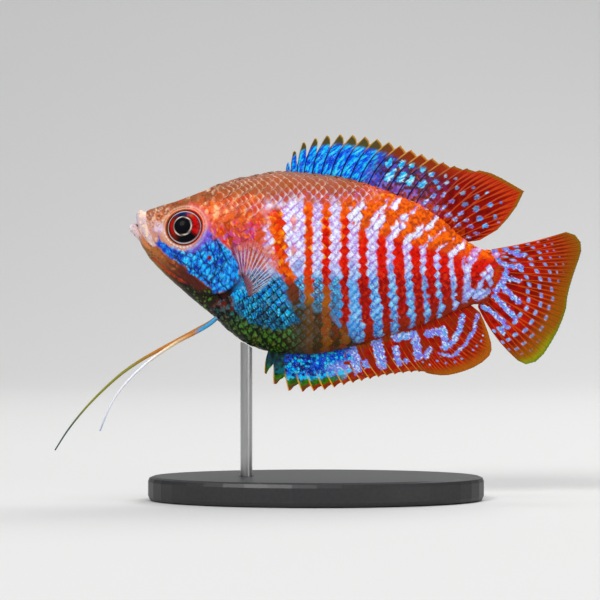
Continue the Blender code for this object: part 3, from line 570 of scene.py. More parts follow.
def barCover(x, z):
    # 1 on the red bars and 0 between them, a place across the leaning bars, and 1 in the heart of each bead
    plan = markPlan
    top = levelAt(plan["barTop"], x)
    lean = np.interp(x, [2, 9, 13, 16, 19, 24], [0.1, 0.3, 0.6, 0.75, 0.9, 1.0])
    across = x - lean * np.maximum(z - top, 0) - 0.1 * np.maximum(39.2 - z, 0) * fade(5, 9, x)
    across = across + 0.3 * wander(x, z, 1.4, 11)
    bead = np.abs(np.sin(math.pi * (z / plan["beadPitch"] + 0.2 * wander(x, z, 3.0, 13))))
    half = plan["barHalf"] + 0.26 * (bead - 0.6) + 0.10 * fade(8, 15, x) + 0.34 * wander(x, z, 0.40, 15)
    half = half + 0.03 * np.clip(z - top, 0, 4) + 0.5 * fade(0, 2, z - top) * wander(x, z, 0.6, 18)
    cover, core = np.zeros(x.shape), np.zeros(x.shape)
    for middle in plan["bars"]:
        gap = np.abs(across - middle)
        cover = np.maximum(cover, fade(half + 0.12, half - 0.12, gap))
        core = np.maximum(core, 1 - gap / half)
    heights, middles = np.array(plan["firstBar"]).T
    ragged = 0.6 * wander(x, z, 1.2, 12)
    first = np.abs(x - np.interp(z, heights, middles) + ragged) + 0.9 * wander(x, z, 0.5, 14)
    cover = np.maximum(cover, fade(1.15, 0.92, first) * fade(49.2, 48.2, z) * fade(29.5, 32, z))
    faint = fade(0.5, 0.2, np.abs(x + 3.7) + 0.5 * wander(x, z, 0.5, 16))
    faint = faint * fade(39.6, 41, z) * fade(48.0, 46.5, z) * fade(0.35, 0.6, noise(x, z, 1.3, 17))
    return np.maximum(cover, 0.8 * faint), across, core * fade(0.1, 0.6, bead)


def palePaint(x, z):
    # the shining stripes: small slanting cells, white and lavender above, blue below; the white cells are
    # partly the stripes' own pale colour and partly painted glints
    a, b = turned(x, z, 25)
    border, number = cellPattern(a * 1.15, b * 0.8, 0.46, 21)
    cool = fade(39.0, 34.5, z + 2.4 * wander(x, z, 1.5, 23))
    blue = over(
        "sky",
        ("cyan", fade(0.45, 0.8, number) * fade(22, 12, x)),
        ("azure", fade(0.35, 0.15, number)),
        ("white", 0.6 * fade(0.86, 0.95, number)),
        ("azure", 0.5 * fade(33, 29, z) * fade(16, 8, x)),
    )
    return over(
        "lavender",
        ("white", fade(0.35, 0.6, number)),
        ("magenta", 0.75 * fade(0.20, 0.08, number) * fade(33, 38, z)),
        (blue, cool),
        ("violet", 0.65 * fade(0.16, 0.04, border)),
    )


def backStreaks(x, z):
    # how far the edge of the plain back wanders up and down
    return 1.8 * wander(x, z * 0.15, 0.5, 49)


def flankPaint(x, z):
    plan = markPlan
    bars, across, core = barCover(x, z)
    top, foot, back = (levelAt(plan[name], x) for name in ("barTop", "barFoot", "backLine"))
    fleck = noise(x, z, 0.35, 24)
    grains = noise(x, z, 0.24, 46)
    blobs = fade(0.58, 0.78, noise(x, z, 0.40, 25))
    red = over(
        "red",
        ("deepRed", fade(39.5, 34.5, z) * 0.75 + 0.6 * fade(0.45, 0.2, grains)),
        ("rust", 0.65 * fade(0.6, 0.85, grains)),
        ("brightOrange", 0.85 * fade(0.5, 0.1, core) * fade(41, 45, z) * fade(10, 4, x)),
        ("orange", np.maximum(fade(-1.0, 2.6, z - top), 0.85 * fade(46.0, 48.5, z))),
        ("brightOrange", 0.8 * fade(0, 2, z - top) * fade(0.5, 0.75, fleck)),
        ("orange", 0.75 * fade(0.5, -3.5, x)),
        ("red", 0.8 * fade(0.5, 0.8, noise(x, z, 0.6, 29)) * fade(0, -3, x)),
        ("amber", 0.75 * blobs * fade(3, 1, x) * fade(36, 40, z) * fade(0.6, 0.3, core)),
        ("redBrown", 0.7 * fade(0.35, 0.15, fleck) * fade(1, -3, x)),
        ("redBrown", fade(foot + 3.5, foot - 0.5, z)),
        ("ochre", fade(foot + 2.6, foot - 1.0, z) * fade(9, 3, x) * 0.8),
        ("ochre", 0.85 * fade(36.8, 34.0, z + 1.2 * (fleck - 0.5)) * fade(4.2, 1.4, x)),
        ("oliveGold", 0.75 * fade(34.6, 31.8, z + 1.2 * (fleck - 0.5)) * fade(2.6, 0.0, x)),
        ("stripeBrown", 0.92 * fade(37.6, 35.6, z + 1.6 * (fleck - 0.5)) * fade(-2.2, -3.0, x)),
        ("mossGreen", 0.6 * fade(foot + 5.5, foot + 1.5, z) * fade(3.5, -1.5, x)),
    )
    along, aside = turned(x, z, 60)
    streaks = noise(along * 0.35, aside * 1.3, 0.50, 26)
    thin = 0.06 + 0.07 * np.clip(z - top, 0, 4)
    streaks = fade(thin - 0.06, thin + 0.06, streaks)
    flecks = fade(0.66, 0.80, noise(along * 0.55, aside * 1.9, 0.42, 109))
    streaks = np.maximum(streaks, 0.9 * flecks * fade(5.0, 3.0, z - top)) * (1 - bars)
    above = fade(-0.3, 0.9, z - top)
    paleShare = (1 - bars) * (1 - above) + streaks * above
    height = z - top - 1.8 * noise(across, z * 0, 0.5, 27)
    tall = np.interp(x, [2, 8, 12, 20], [2.6, 4.4, 5.6, 5.8])
    reach = fade(tall + 0.5, tall - 0.5, height) * fade(back + 1.3, back - 0.5, z + backStreaks(x, z))
    paleShare = paleShare * reach
    mix = above * reach
    paleShare = paleShare * fade(foot - 0.35, foot + 0.35, z + 0.6 * wander(x, z, 0.6, 28))
    ahead = fade(-6.2, -7.2, x + 0.8 * wander(x, z, 0.6, 110))
    broken = np.maximum(fade(45.0, 46.2, z), fade(0.62, 0.48, noise(x, z, 0.5, 111)))
    paleShare = paleShare * (1 - 0.85 * ahead * broken)
    onStalk = fade(24.2, 25.0, x)
    stalk = np.zeros(x.shape)
    for line, half in plan["stalkLines"]:
        gap, _ = nearLine(line, x, z)
        stalk = np.maximum(stalk, fade(half + 0.12, half - 0.12, gap + 0.5 * (fleck - 0.5)))
    paleShare = paleShare * (1 - onStalk) + stalk * onStalk
    colour = over(red, (palePaint(x, z), paleShare))
    return colour, paleShare, bars, mix * (1 - onStalk), streaks


def mottlePaint(x, z):
    a, b = turned(x, z, 30)
    fine = noise(a * 1.6, b * 0.8, 0.38, 34)
    lowShare = fade(42.5, 39.5, z + 1.2 * (fine - 0.5))
    return over(
        "blush",
        ("red", 0.85 * fade(0.4, 0.65, noise(a * 1.4, b, 0.8, 34))),
        ("heartOrange", fade(0.45, 0.65, noise(a * 1.4, b, 0.55, 35))),
        ("brightOrange", 0.7 * fade(0.68, 0.85, noise(a * 1.4, b, 0.5, 50))),
        ("magenta", 0.4 * fade(0.58, 0.8, noise(x, z, 0.7, 36)) * fade(46.5, 44.5, z)),
        ("flameLight", 0.5 * fade(0.72, 0.9, fine)),
        ("violet", 0.6 * lowShare * fade(-10.5, -12.5, x)),
        ("heartBrown", 0.8 * lowShare * fade(-12.0, -10.5, x) * fade(0.7, 0.4, fine)),
        ("peach", 0.5 * lowShare * fade(-12.0, -10.5, x) * fade(0.6, 0.85, fine)),
        ("violet", 0.5 * fade(0.72, 0.9, noise(x, z, 0.5, 38))),
        ("redBrown", 0.65 * fade(0.32, 0.12, fine)),
    )


def warmPaint(colour, x, z):
    # the shoulder behind the eye: orange flames above, red and pink mottling below
    patchy = fade(0.15, 0.5, noise(x, z, 0.7, 19) + 0.7 * fade(-8.6, -10.4, x))
    flush = insideOf(markPlan["flush"], x + 1.2 * wander(x, z, 0.8, 20), z, 0.9) * patchy
    flames = insideOf(markPlan["flames"], x, z + 0.9 * wander(x, z, 0.7, 40), 0.9)
    a, b = turned(x, z, -22)
    streak = noise(a * 2.2, b * 0.7, 0.8, 39)
    flame = over(
        "flame",
        ("flameDark", fade(0.45, 0.2, streak)),
        ("brightOrange", 0.8 * fade(0.5, 0.65, streak)),
        ("flameLight", fade(0.70, 0.86, streak + 0.3 * wander(x, z, 0.3, 47))),
        ("heartBrown", 0.6 * fade(0.6, 0.8, noise(x, z, 0.5, 48))),
    )
    return over(colour, (mottlePaint(x, z), flush), (flame, flames)), flush, flames


def bodyPaint(x, y, z):
    plan = markPlan
    colour, pale, bars, mix, streaks = flankPaint(x, z)
    gleam = 0.85 * pale
    back = levelAt(plan["backLine"], x)
    backShare = fade(back - 1.0, back + 1.2, z + backStreaks(x, z) + 0.5 * wander(x, z, 1.0, 30))
    toTail = fade(14.0, 6.0, x)
    tan = over(
        "backTan",
        ("backPink", fade(0.3, 0.8, noise(x, z, 1.5, 31)) * fade(-14, -4, x)),
        ("napeBrown", fade(-6, -16, x) * fade(49.6, 52.5, z) * 0.7),
        ("heartBrown", 0.7 * np.maximum(fade(back + 2.6, back - 1, z), fade(2, 9, x))),
        ("backGrey", 0.7 * fade(1.8, 0.4, edgeHeight(x, True) - z) * fade(8, 0, x)),
    )
    belowEdge = edgeHeight(x, True) - z
    deep = np.interp(x, [3, 8, 14, 22, 30], [3.8, 3.2, 2.3, 1.9, 1.4])
    band = fade(deep + 0.7, deep - 0.7, belowEdge + 1.3 * wander(x, z, 0.6, 32)) * fade(6.5, 12, x)
    tuftBorder, tuft = cellPattern(*turned(x * 0.55, z, 35), 0.30, 33)
    colour = over(
        colour,
        (tan, backShare * toTail),
        ("orange", band),
        ("brightOrange", band * fade(0.5, 0.8, tuft)),
        ("amber", 0.6 * band * fade(0.86, 0.96, tuft)),
        ("rust", 0.8 * band * np.maximum(fade(0.3, 0.1, tuft), fade(0.14, 0.04, tuftBorder))),
    )
    gleam = gleam * (1 - backShare * toTail) * (1 - band)

    colour, flush, flames = warmPaint(colour, x, z)
    gleam = gleam * (1 - 0.7 * flush) * (1 - flames)
    patch = fade(1.25, 0.8, np.hypot((x + 9.2) / 0.8, (z - 43.8) / 1.9) + 0.5 * wander(x, z, 0.5, 37))
    colour = over(colour, ("heartOrange", patch * 0.9))

    line = levelAt(plan["bellyLine"], x) + 1.4 * wander(x, z, 1.4, 41)
    under = fade(line + 1.1, line - 1.1, z)
    chest = np.maximum(under, fade(37.2, 35.2, z) * fade(-11.8, -13.0, x))
    warm = bell(np.hypot((x + 15.2) / 1.6, z - 32.2), 0, 1.6)
    tiles = insideOf(plan["tiles"], x, z, 0.7)
    blue = over(
        "azure",
        ("cobalt", 0.7 * fade(0.5, 0.8, noise(x, z, 1.1, 42))),
        ("cyan", fade(0.45, 0.8, noise(x, z, 0.6, 43))),
        ("teal", fade(32.6, 30.0, z)),
    )
    gleam = np.maximum(gleam * (1 - chest), 0.12 * tiles)
    net = pale * fade(7.5, 3.0, x) * fade(38.2, 36.2, z) * (1 - tiles) * (1 - chest)
    netTone = over("azure", ("teal", fade(35.5, 32.0, z) * fade(5, 1, x)))
    colour = over(
        colour,
        ("bellyBlack", chest),
        ("mossGreen", 0.25 * chest * fade(31.5, 27.5, z)),
        ("bellyOlive", 0.55 * chest * fade(-7, -1, x)),
        ("ochre", 0.55 * chest * bars * fade(-3, 2, x)),
        ("backGrey", 0.16 * chest * fade(-5, -1, x) * fade(0.3, 0.7, noise(x, z, 0.8, 107))),
        ("redBrown", 0.5 * chest * fade(0.5, 0.8, noise(x, z, 0.7, 45)) * fade(-2, 3, x)),
        ("redBrown", 0.5 * warm * fade(0.35, 0.7, noise(x, z, 0.6, 44))),
        (blue, tiles),
        (netTone, net),
    )
    gleam = gleam * (1 - 0.7 * net)

    head = headCover(x, z)
    face, faceGleam = headPaint(x, y, z)
    colour = over(colour, (face, head))
    gleam = gleam + (faceGleam - gleam) * head
    zones = {
        "back": backShare * toTail,
        "band": band,
        "belly": chest * (1 - tiles) * (1 - head),
        "tiles": tiles * (1 - head),
        "net": net * (1 - head),
        "pale": ((pale - net) * (1 - backShare) * (1 - head) * (1 - tiles) * (1 - chest)
                 * (1 - flush) * (1 - flames)),
        "mix": mix * (1 - head) * (1 - flush) * (1 - flames),
        "streaks": streaks,
        "flames": flames * (1 - head),
        "head": head,
    }
    return colour, gleam, zones


def headPaint(x, y, z):
    plan = markPlan
    border, number = cellPattern(x, z, 0.62, 51)
    above = z - levelAt(plan["backLine"], x)
    tipTop = fade(-25.0, -26.5, x) * fade(46.6, 47.6, z)
    snout = fade(2.9, 0.8, np.hypot(x + 26.6, (z - 44.9) / 1.3))
    fine = noise(x, z, 0.30, 65)
    # painted highlights: glint and the brightest cells put cream glints on the forehead and crown
    glint = fade(0.62, 0.85, noise(*turned(x * 1.6, z, -60), 0.42, 66))
    crown = fade(44.5, 47.0, z) * fade(1.6, 0.4, above)
    grains = noise(x, z, 0.19, 69)
    dots = fade(0.40, 0.62, border) * (number > 0.45) * fade(44.0, 46.5, z) * fade(-20, -24, x)
    face = over(
        "peach",
        ("backTan", fade(0.3, 0.75, noise(x, z, 1.2, 51))),
        ("napeBrown", 0.65 * fade(-0.1, 1.8, above)),
        ("heartOrange", 0.7 * fade(0.35, 0.1, number) * fade(-27, -21, x)),
        ("cream", 0.6 * fade(0.84, 0.95, number) * fade(0.1, 0.3, border)),
        ("backGrey", 0.7 * tipTop * fade(0.3, 0.6, number)),
        ("snoutPink", 0.8 * snout),
        ("lilac", 0.85 * fade(1.1, 0.4, np.hypot(x + 26.1, z - 45.3) + 0.5 * (number - 0.5))),
        ("cream", 0.5 * snout * fade(0.6, 0.8, noise(x, z, 0.5, 54))),
        ("orbitOrange", 0.8 * fade(0.9, 0.5, np.hypot(x + 26.0, z - 47.15))),
        ("cream", 0.55 * glint * crown),
        ("heartOrange", 0.6 * fade(0.55, 0.85, fine) * crown * fade(-25, -20, x)),
        ("napeBrown", 0.6 * fade(0.40, 0.15, fine) * fade(44.5, 46.5, z)),
        ("flameLight", 0.55 * fade(0.72, 0.9, grains) * crown),
        ("speck", 0.5 * fade(0.22, 0.08, grains) * fade(43, 46, z)),
        ("speck", 0.6 * dots),
    )
    face, _, _ = warmPaint(face, x, z)

    jawGap, _ = nearLine(skinPlan["jawFold"], x, z)
    below = fade(0.12, -0.12, z - levelAt(skinPlan["jawTop"], x))
    spotBorder, spotNumber = cellPattern(x, z, 0.5, 55)
    spots = fade(0.35, 0.6, spotBorder)
    jaw = over(
        "jawGold",
        ("jawBrown", fade(-27.5, -24.0, x)),
        ("oliveGold", 0.8 * fade(1.0, 2.0, jawGap)),
        ("bellyBlack", 0.95 * fade(-26.0, -21.5, x)),
        ("speck", 0.8 * spots * (spotNumber > 0.6) * fade(-21, -24, x)),
        ("leafGreen", 0.7 * spots * (spotNumber < 0.35) * fade(-23, -20.5, x)),
    )
    strip = insideOf(skinPlan["chinStrip"], x, z, 0.45)
    band = over(
        "jawGold",
        ("jawBrown", fade(-26.0, -23.5, x)),
        ("heartBrown", 0.6 * fade(0.45, 0.75, noise(x, z, 0.6, 56))),
        ("peach", 0.6 * fade(0.60, 0.80, noise(x, z, 0.5, 82)) * fade(-22.0, -23.5, x)),
        ("maroon", 0.9 * fade(-24.2, -21.2, x + 0.8 * wander(x, z, 0.7, 64))),
        ("speck", 0.7 * spots * (spotNumber > 0.5)),
    )
    line, _ = nearLine(skinPlan["chinFold"], x, z)
    slit = 0.9 * fade(0.30, 0.10, line + 0.3 * wander(x, z, 0.4, 75))
    face = over(
        face,
        (jaw, below),
        (band, strip),
        ("slitRed", slit * fade(-20.8, -22.4, x)),
        ("maroon", 0.8 * slit * fade(-22.4, -20.8, x)),
    )

    cheek = insideOf(plan["cheek"], x + 0.9 * wander(x, z, 0.9, 59), z + 0.9 * wander(x, z, 0.9, 63), 0.2)
    border, number = cheekCells(x, z)
    # lit is a noise of brighter and darker blue patches; its brightest spots get painted ice-cyan glints
    lit = noise(*turned(x * 1.5, z, 40), 0.42, 60)
    vein = np.abs(wander(*turned(x, z * 0.7, 35), 1.3, 68))
    blue = over(
        "azure",
        ("cobalt", 0.75 * fade(0.55, 0.2, number) + 0.5 * fade(0.4, 0.2, lit)),
        ("cyan", 0.95 * fade(0.45, 0.65, lit) * fade(0.08, 0.3, border)),
        ("tileCyan", 0.8 * fade(0.58, 0.72, lit) * fade(0.15, 0.35, border)),
        ("iceCyan", 0.6 * fade(0.74, 0.88, lit) * fade(0.2, 0.4, border)),
        ("finNavy", 0.45 * fade(0.34, 0.18, lit)),
        ("deepViolet", 0.75 * fade(0.07, 0.01, vein)),
        ("violet", 0.8 * fade(42.0, 44.0, z) * fade(-20.0, -18.8, x)),
        ("crack", 0.9 * fade(0.16, 0.04, border)),
        ("cobalt", 0.6 * fade(-21.5, -25.0, x)),
    )
    for crack in skinPlan["plateCracks"]:
        gap, along = crackGap(crack, x, z)
        blue = over(blue, ("crack", 0.85 * fade(0.20, 0.06, gap) * fade(0, 0.15, along)))
    spot = fade(0.44, 0.3, np.hypot(x + 17.57, z - 40.3))
    edge, _ = nearLine(skinPlan["gillEdge"], x, z)
    rimDark = 0.8 * fade(0.25, 0.1, edge) * fade(-24, -21, x) * fade(44, 42, z)
    face = over(
        face,
        (blue, cheek),
        ("deepRed", spot),
        ("crack", rimDark * fade(36.0, 37.5, z)),
        ("bellyBlack", rimDark * fade(37.5, 36.0, z)),
    )
    for word, side in sides.items():
        radius, _ = eyeRadius(np.stack([x, y, z], -1), word)
        near = np.where(y * side > 0, radius, 99.0)
        middle = eyes[word][0]
        behind = fade(-0.5, 1.5, x - middle[0])
        lowFront = fade(0.3, -0.6, z - middle[2]) * fade(1.8, 0.8, x - middle[0])
        beads = 0.6 + 0.4 * np.sin(34 * np.arctan2(z - middle[2], x - middle[0]))
        face = over(
            face,
            ("violet", 0.8 * bell(near, 4.0, 0.55) * behind * fade(1.5, -1, z - middle[2])),
            ("pink", 0.7 * bell(near, 3.9, 0.5) * behind * fade(-1, 1, z - middle[2])),
            ("cream", 0.35 * bell(near, 3.75, 0.2)),
            ("orbitOrange", 0.95 * fade(3.5, 3.3, near)),
            ("cream", 0.55 * bell(near, 3.32, 0.07)),
            ("red", 0.9 * fade(3.35, 3.2, near) * behind),
            ("redBrown", 0.8 * fade(3.16, 3.06, near)),
            ("white", lowFront * bell(near, 3.38, 0.11) * beads),
            ("irisBlack", fade(3.0, 2.88, near)),
        )
    return face, 0.45 * cheek * (1 - spot) * fade(0.02, 0.12, border)


def lipPaint(colour, points, lipped, ribGrid):
    x, z = points[..., 0], points[..., 2]
    upper = np.full(x.shape, 9.0)
    lower = np.full(x.shape, 9.0)
    for gaps, name in ((upper, "upper"), (lower, "lower")):
        line = lipLine(lipPlan[name])
        near = ribGrid[:, 0] < skinPlan["lipPaintEnd"]
        part = points[near].reshape(-1, 1, 3)
        found = np.linalg.norm(part - line[None, :, :3], axis=-1) - line[None, :, 3]
        gaps[near] = found.min(1).reshape(-1, points.shape[1])
    border, number = cellPattern(x, z, 0.36, 61)
    mottled = noise(x, z, 0.55, 62)
    knob = fade(0.3, 0.05, lower) * fade(-28.6, -29.6, x) * fade(0.05, 0.25, upper)
    onLip = np.maximum(fade(0.2, 0.05, upper), fade(0.25, 0.05, lower))
    # painted shade: the opening of the mouth, between the lips and down the throat, is painted dark red-brown
    mouthShade = fade(0.35, 0.1, lipped) * fade(0.55, 0.2, ribGrid)
    mouthShade = np.maximum(mouthShade, fade(-29.3, -28.9, x) * (ribGrid == 0))
    return over(
        colour,
        ("lipPale", fade(0.30, 0.10, upper)),
        ("cream", 0.8 * fade(0.2, 0.05, upper) * fade(0.4, 0.7, mottled)),
        ("lipBlue", 0.8 * fade(0.2, 0.05, upper) * fade(-29.4, -30.0, x)),
        ("peach", 0.85 * fade(0.30, 0.10, lower) * fade(0.05, 0.25, upper)),
        ("lipPale", knob),
        ("lipWhite", 0.8 * knob * fade(-30.4, -30.9, x)),
        ("napeBrown", 0.6 * knob * fade(0.55, 0.75, mottled)),
        ("speck", 0.6 * onLip * fade(0.45, 0.7, border) * (number > 0.72)),
        ("mouthDark", mouthShade),
    )


skinPoints, skinRib, skinLip = buildSkin(skinPlan)
flat = skinPoints.reshape(-1, 3)
skinColour, skinGleam, skinZones = bodyPaint(*flat.T)
# painted shade: the skin under the scales is darkened, since it shows only in the shaded gaps between the
# plates
shadedUnderScales = (1 - skinZones["head"])[:, None]
skinColour = skinColour * (1 - 0.45 * shadedUnderScales)
skinColour = lipPaint(skinColour.reshape(skinPoints.shape), skinPoints, skinLip, skinRib).reshape(-1, 3)
skin = ringShell("skin", skinPoints, skinPlan["throat"], skinPoints[-1].mean(0))
facesOut(skin.data)
keepPaint(skin.data, withPoles(skinColour), withPoles(skinGleam))
print("skin:", len(skin.data.polygons), "faces")


# Materials
def feed(node, inputs):
    # each input takes a plain value, or a link from another node's output
    for key, value in inputs.items():
        if isinstance(value, bpy.types.NodeSocket):
            node.id_data.links.new(value, node.inputs[key])
        else:
            node.inputs[key].default_value = value


def newNode(tree, kind, x, y, inputs=None, **values):
    node = tree.nodes.new(kind)
    node.location = (x, y)
    for name, value in values.items():
        setattr(node, name, value)
    feed(node, inputs or {})
    return node


def newMaterial(name):
    material = bpy.data.materials.new(name)
    material.use_nodes = True
    return material, material.node_tree, material.node_tree.nodes["Principled BSDF"]


def paintedMaterial(name, look):
    # colour and gleam come from the piece's own attributes, grain from its object coordinates, and painted
    # glints lighten the brightest cells where it gleams
    material, tree, shader = newMaterial(name)
    place = newNode(tree, "ShaderNodeTexCoord", -1600, 0).outputs["Object"]
    tint = newNode(tree, "ShaderNodeAttribute", -1400, 300, attribute_name="tint").outputs["Color"]
    gleam = newNode(tree, "ShaderNodeAttribute", -1400, -100, attribute_name="gleam").outputs["Fac"]
    cells = newNode(tree, "ShaderNodeTexVoronoi", -1400, 100,
                    {"Scale": 1 / (look["grain"] * mm), "Vector": place})
    parts = newNode(tree, "ShaderNodeSeparateColor", -1200, 100, {"Color": cells.outputs["Color"]})
    # brightness varies from cell to cell: grain everywhere, and stronger, as painted glitter, where the
    # surface gleams
    depth = newNode(tree, "ShaderNodeMapRange", -1200, -100, {
        "To Min": look["grainDepth"], "To Max": look["gleamDepth"], "Value": gleam})
    centred = newNode(tree, "ShaderNodeMath", -1000, 100, {0: parts.outputs["Red"], 1: 2.0, 2: -1.0},
                      operation="MULTIPLY_ADD")
    glint = newNode(tree, "ShaderNodeMath", -800, 100, {
        0: centred.outputs["Value"], 1: depth.outputs["Result"], 2: 1.0}, operation="MULTIPLY_ADD")
    vary = newNode(tree, "ShaderNodeMix", -560, 200, {"Factor": 1.0}, data_type="RGBA", blend_type="MULTIPLY")
    feed(vary, {6: tint, 7: glint.outputs["Value"]})
    # painted highlight: the brightest cells are mixed towards pale blue-white glints where the surface gleams
    paintedGlintRamp = newNode(tree, "ShaderNodeMapRange", -800, -100, {
        "From Min": 0.72, "From Max": 0.95, "To Max": look["paintedSparkle"], "Value": parts.outputs["Green"]})
    paintedGlintShare = newNode(tree, "ShaderNodeMath", -620, -100, {0: paintedGlintRamp.outputs["Result"], 1: gleam},
                        operation="MULTIPLY")
    lit = newNode(tree, "ShaderNodeMix", -340, 200, {"Factor": paintedGlintShare.outputs["Value"]}, data_type="RGBA")
    feed(lit, {6: vary.outputs[2], 7: (0.80, 0.92, 1.0, 1)})
    shine = newNode(tree, "ShaderNodeMath", -560, -260, {0: gleam, 1: look["metal"]}, operation="MULTIPLY")
    ripples = newNode(tree, "ShaderNodeTexNoise", -780, -450, {
        "Scale": 1 / (look["ripple"] * mm), "Detail": 3.0, "Vector": place})
    height = newNode(tree, "ShaderNodeMath", -560, -450,
                     {0: ripples.outputs["Fac"], 1: cells.outputs["Distance"]},
                     operation="ADD")
    bump = newNode(tree, "ShaderNodeBump", -340, -450, {
        "Strength": look["bump"], "Distance": look["bumpDepth"] * mm, "Height": height.outputs["Value"]})
    feed(shader, {
        "Base Color": lit.outputs[2], "Metallic": shine.outputs["Value"], "Normal": bump.outputs["Normal"],
        "Roughness": look["roughness"], "Coat Weight": look["coat"], "Coat Roughness": look["coatRoughness"],
        "Coat IOR": 1.33, "Specular IOR Level": look["specular"],
    })
    if "clear" in look:
        clear = newNode(tree, "ShaderNodeAttribute", -340, -700, attribute_name="clear")
        feed(shader, {"Alpha": clear.outputs["Fac"]})
    return material


looks = {
    "skin": {"grain": 0.15, "grainDepth": 0.12, "gleamDepth": 0.32, "paintedSparkle": 0.15, "metal": 0.22,
             "ripple": 0.5, "bump": 0.35, "bumpDepth": 0.05, "roughness": 0.38, "specular": 0.06,
             "coat": 0.12, "coatRoughness": 0.10},
    "scales": {"grain": 0.17, "grainDepth": 0.14, "gleamDepth": 0.28, "paintedSparkle": 0.25, "metal": 0.20,
               "ripple": 0.4, "bump": 0.30, "bumpDepth": 0.04, "roughness": 0.36, "specular": 0.06,
               "coat": 0.12, "coatRoughness": 0.10},
    "fins": {"grain": 0.14, "grainDepth": 0.12, "gleamDepth": 0.30, "paintedSparkle": 0.15, "metal": 0.22,
             "ripple": 0.3, "bump": 0.25, "bumpDepth": 0.03, "roughness": 0.42, "specular": 0.05,
             "coat": 0.06, "coatRoughness": 0.15},
    "sideFins": {"grain": 0.2, "grainDepth": 0.06, "gleamDepth": 0.1, "paintedSparkle": 0.0, "metal": 0.0,
                 "ripple": 0.3, "bump": 0.2, "bumpDepth": 0.03, "roughness": 0.35, "specular": 0.3,
                 "coat": 0.10, "coatRoughness": 0.2, "clear": True},
    "feelers": {"grain": 0.2, "grainDepth": 0.10, "gleamDepth": 0.2, "paintedSparkle": 0.1, "metal": 0.2,
                "ripple": 0.25, "bump": 0.2, "bumpDepth": 0.03, "roughness": 0.35, "specular": 0.3,
                "coat": 0.2, "coatRoughness": 0.2},
    "eyes": {"grain": 0.09, "grainDepth": 0.12, "gleamDepth": 0.2, "paintedSparkle": 0.0, "metal": 0.2,
             "ripple": 0.3, "bump": 0.0, "bumpDepth": 0.01, "roughness": 0.5, "specular": 0.02,
             "coat": 0.06, "coatRoughness": 0.03},
}
materials = {name: paintedMaterial(name, look) for name, look in looks.items()}
skin.data.materials.append(materials["skin"])
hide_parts("head", "torso", "tail_stalk", "upper_lip", "lower_jaw",
            "gill_cover_left", "gill_cover_right")
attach(skin, "root")


# Scales: one small solid plate, set in rows along the body by a node tree
scalePlan = {"length": 1.0, "half": 0.5, "thick": 0.045, "crown": 0.05, "cellsLong": 11, "cellsWide": 10}


def scaleTemplate(plan):
    # root at 0 and tip at 1 along X, widest before the middle, the tip rounded to a blunt point
    rows, count = plan["cellsLong"] + 1, plan["cellsWide"] + 1
    u = np.linspace(0, 1, rows)[:, None] * np.ones(count)
    v = np.linspace(-1, 1, count)[None] * np.ones((rows, 1))
    tip = np.sqrt(np.clip(1 - (np.clip(u - 0.40, 0, 1) / 0.62) ** 2, 0, 1))
    width = tip * (0.72 + 0.28 * fade(0, 0.4, u))
    bulge = 1 - 0.16 * v**2 * u
    x = u * bulge * plan["length"]
    y = v * width * plan["half"]
    z = plan["crown"] * (1 - v**2) * np.sin(math.pi * np.clip(u * 0.9 + 0.1, 0, 1))
    top = np.stack([x, y, z], -1).reshape(-1, 3)
    rim = rimOf(np.arange(rows * count).reshape(rows, count)).tolist()
    low = top[rim] - (0, 0, plan["thick"])
    faces = [
        ((r + 1) * count + c, (r + 1) * count + c + 1, r * count + c + 1, r * count + c)
        for r in range(rows - 1) for c in range(count - 1)
    ]
    base = len(top)
    for n, corner in enumerate(rim):
        after = (n + 1) % len(rim)
        faces.append((corner, rim[after], base + after, base + n))
    faces.append(tuple(range(base, base + len(rim))))
    template = linkedMesh("scaleTemplate", np.concatenate([top, low]), faces)
    facesOut(template.data)
    spot = np.stack([u, v, 0 * u], -1).reshape(-1, 3)
    keepVectors(template.data, "inScale", np.concatenate([spot, spot[rim]]))
    return template


def newTree(name, inputs):
    # a node tree with Geometry in and out, and more inputs by name, each with its kind and default
    tree = bpy.data.node_groups.new(name, "GeometryNodeTree")
    tree.interface.new_socket("Geometry", in_out="INPUT", socket_type="NodeSocketGeometry")
    for label, (kind, default) in inputs.items():
        socket = tree.interface.new_socket(label, in_out="INPUT", socket_type="NodeSocket" + kind)
        if default is not None:
            socket.default_value = default
    tree.interface.new_socket("Geometry", in_out="OUTPUT", socket_type="NodeSocketGeometry")
    return tree, newNode(tree, "NodeGroupInput", -900, 0).outputs


def finishTree(tree, geometry, ends, x):
    # makes copies real, gives them the Finish material and sends them out
    real = newNode(tree, "GeometryNodeRealizeInstances", x, 0, {"Geometry": geometry})
    finish = newNode(tree, "GeometryNodeSetMaterial", x + 200, 0, {
        "Geometry": real.outputs["Geometry"], "Material": ends["Finish"]})
    newNode(tree, "NodeGroupOutput", x + 400, 0, {"Geometry": finish.outputs["Geometry"]})
    return tree


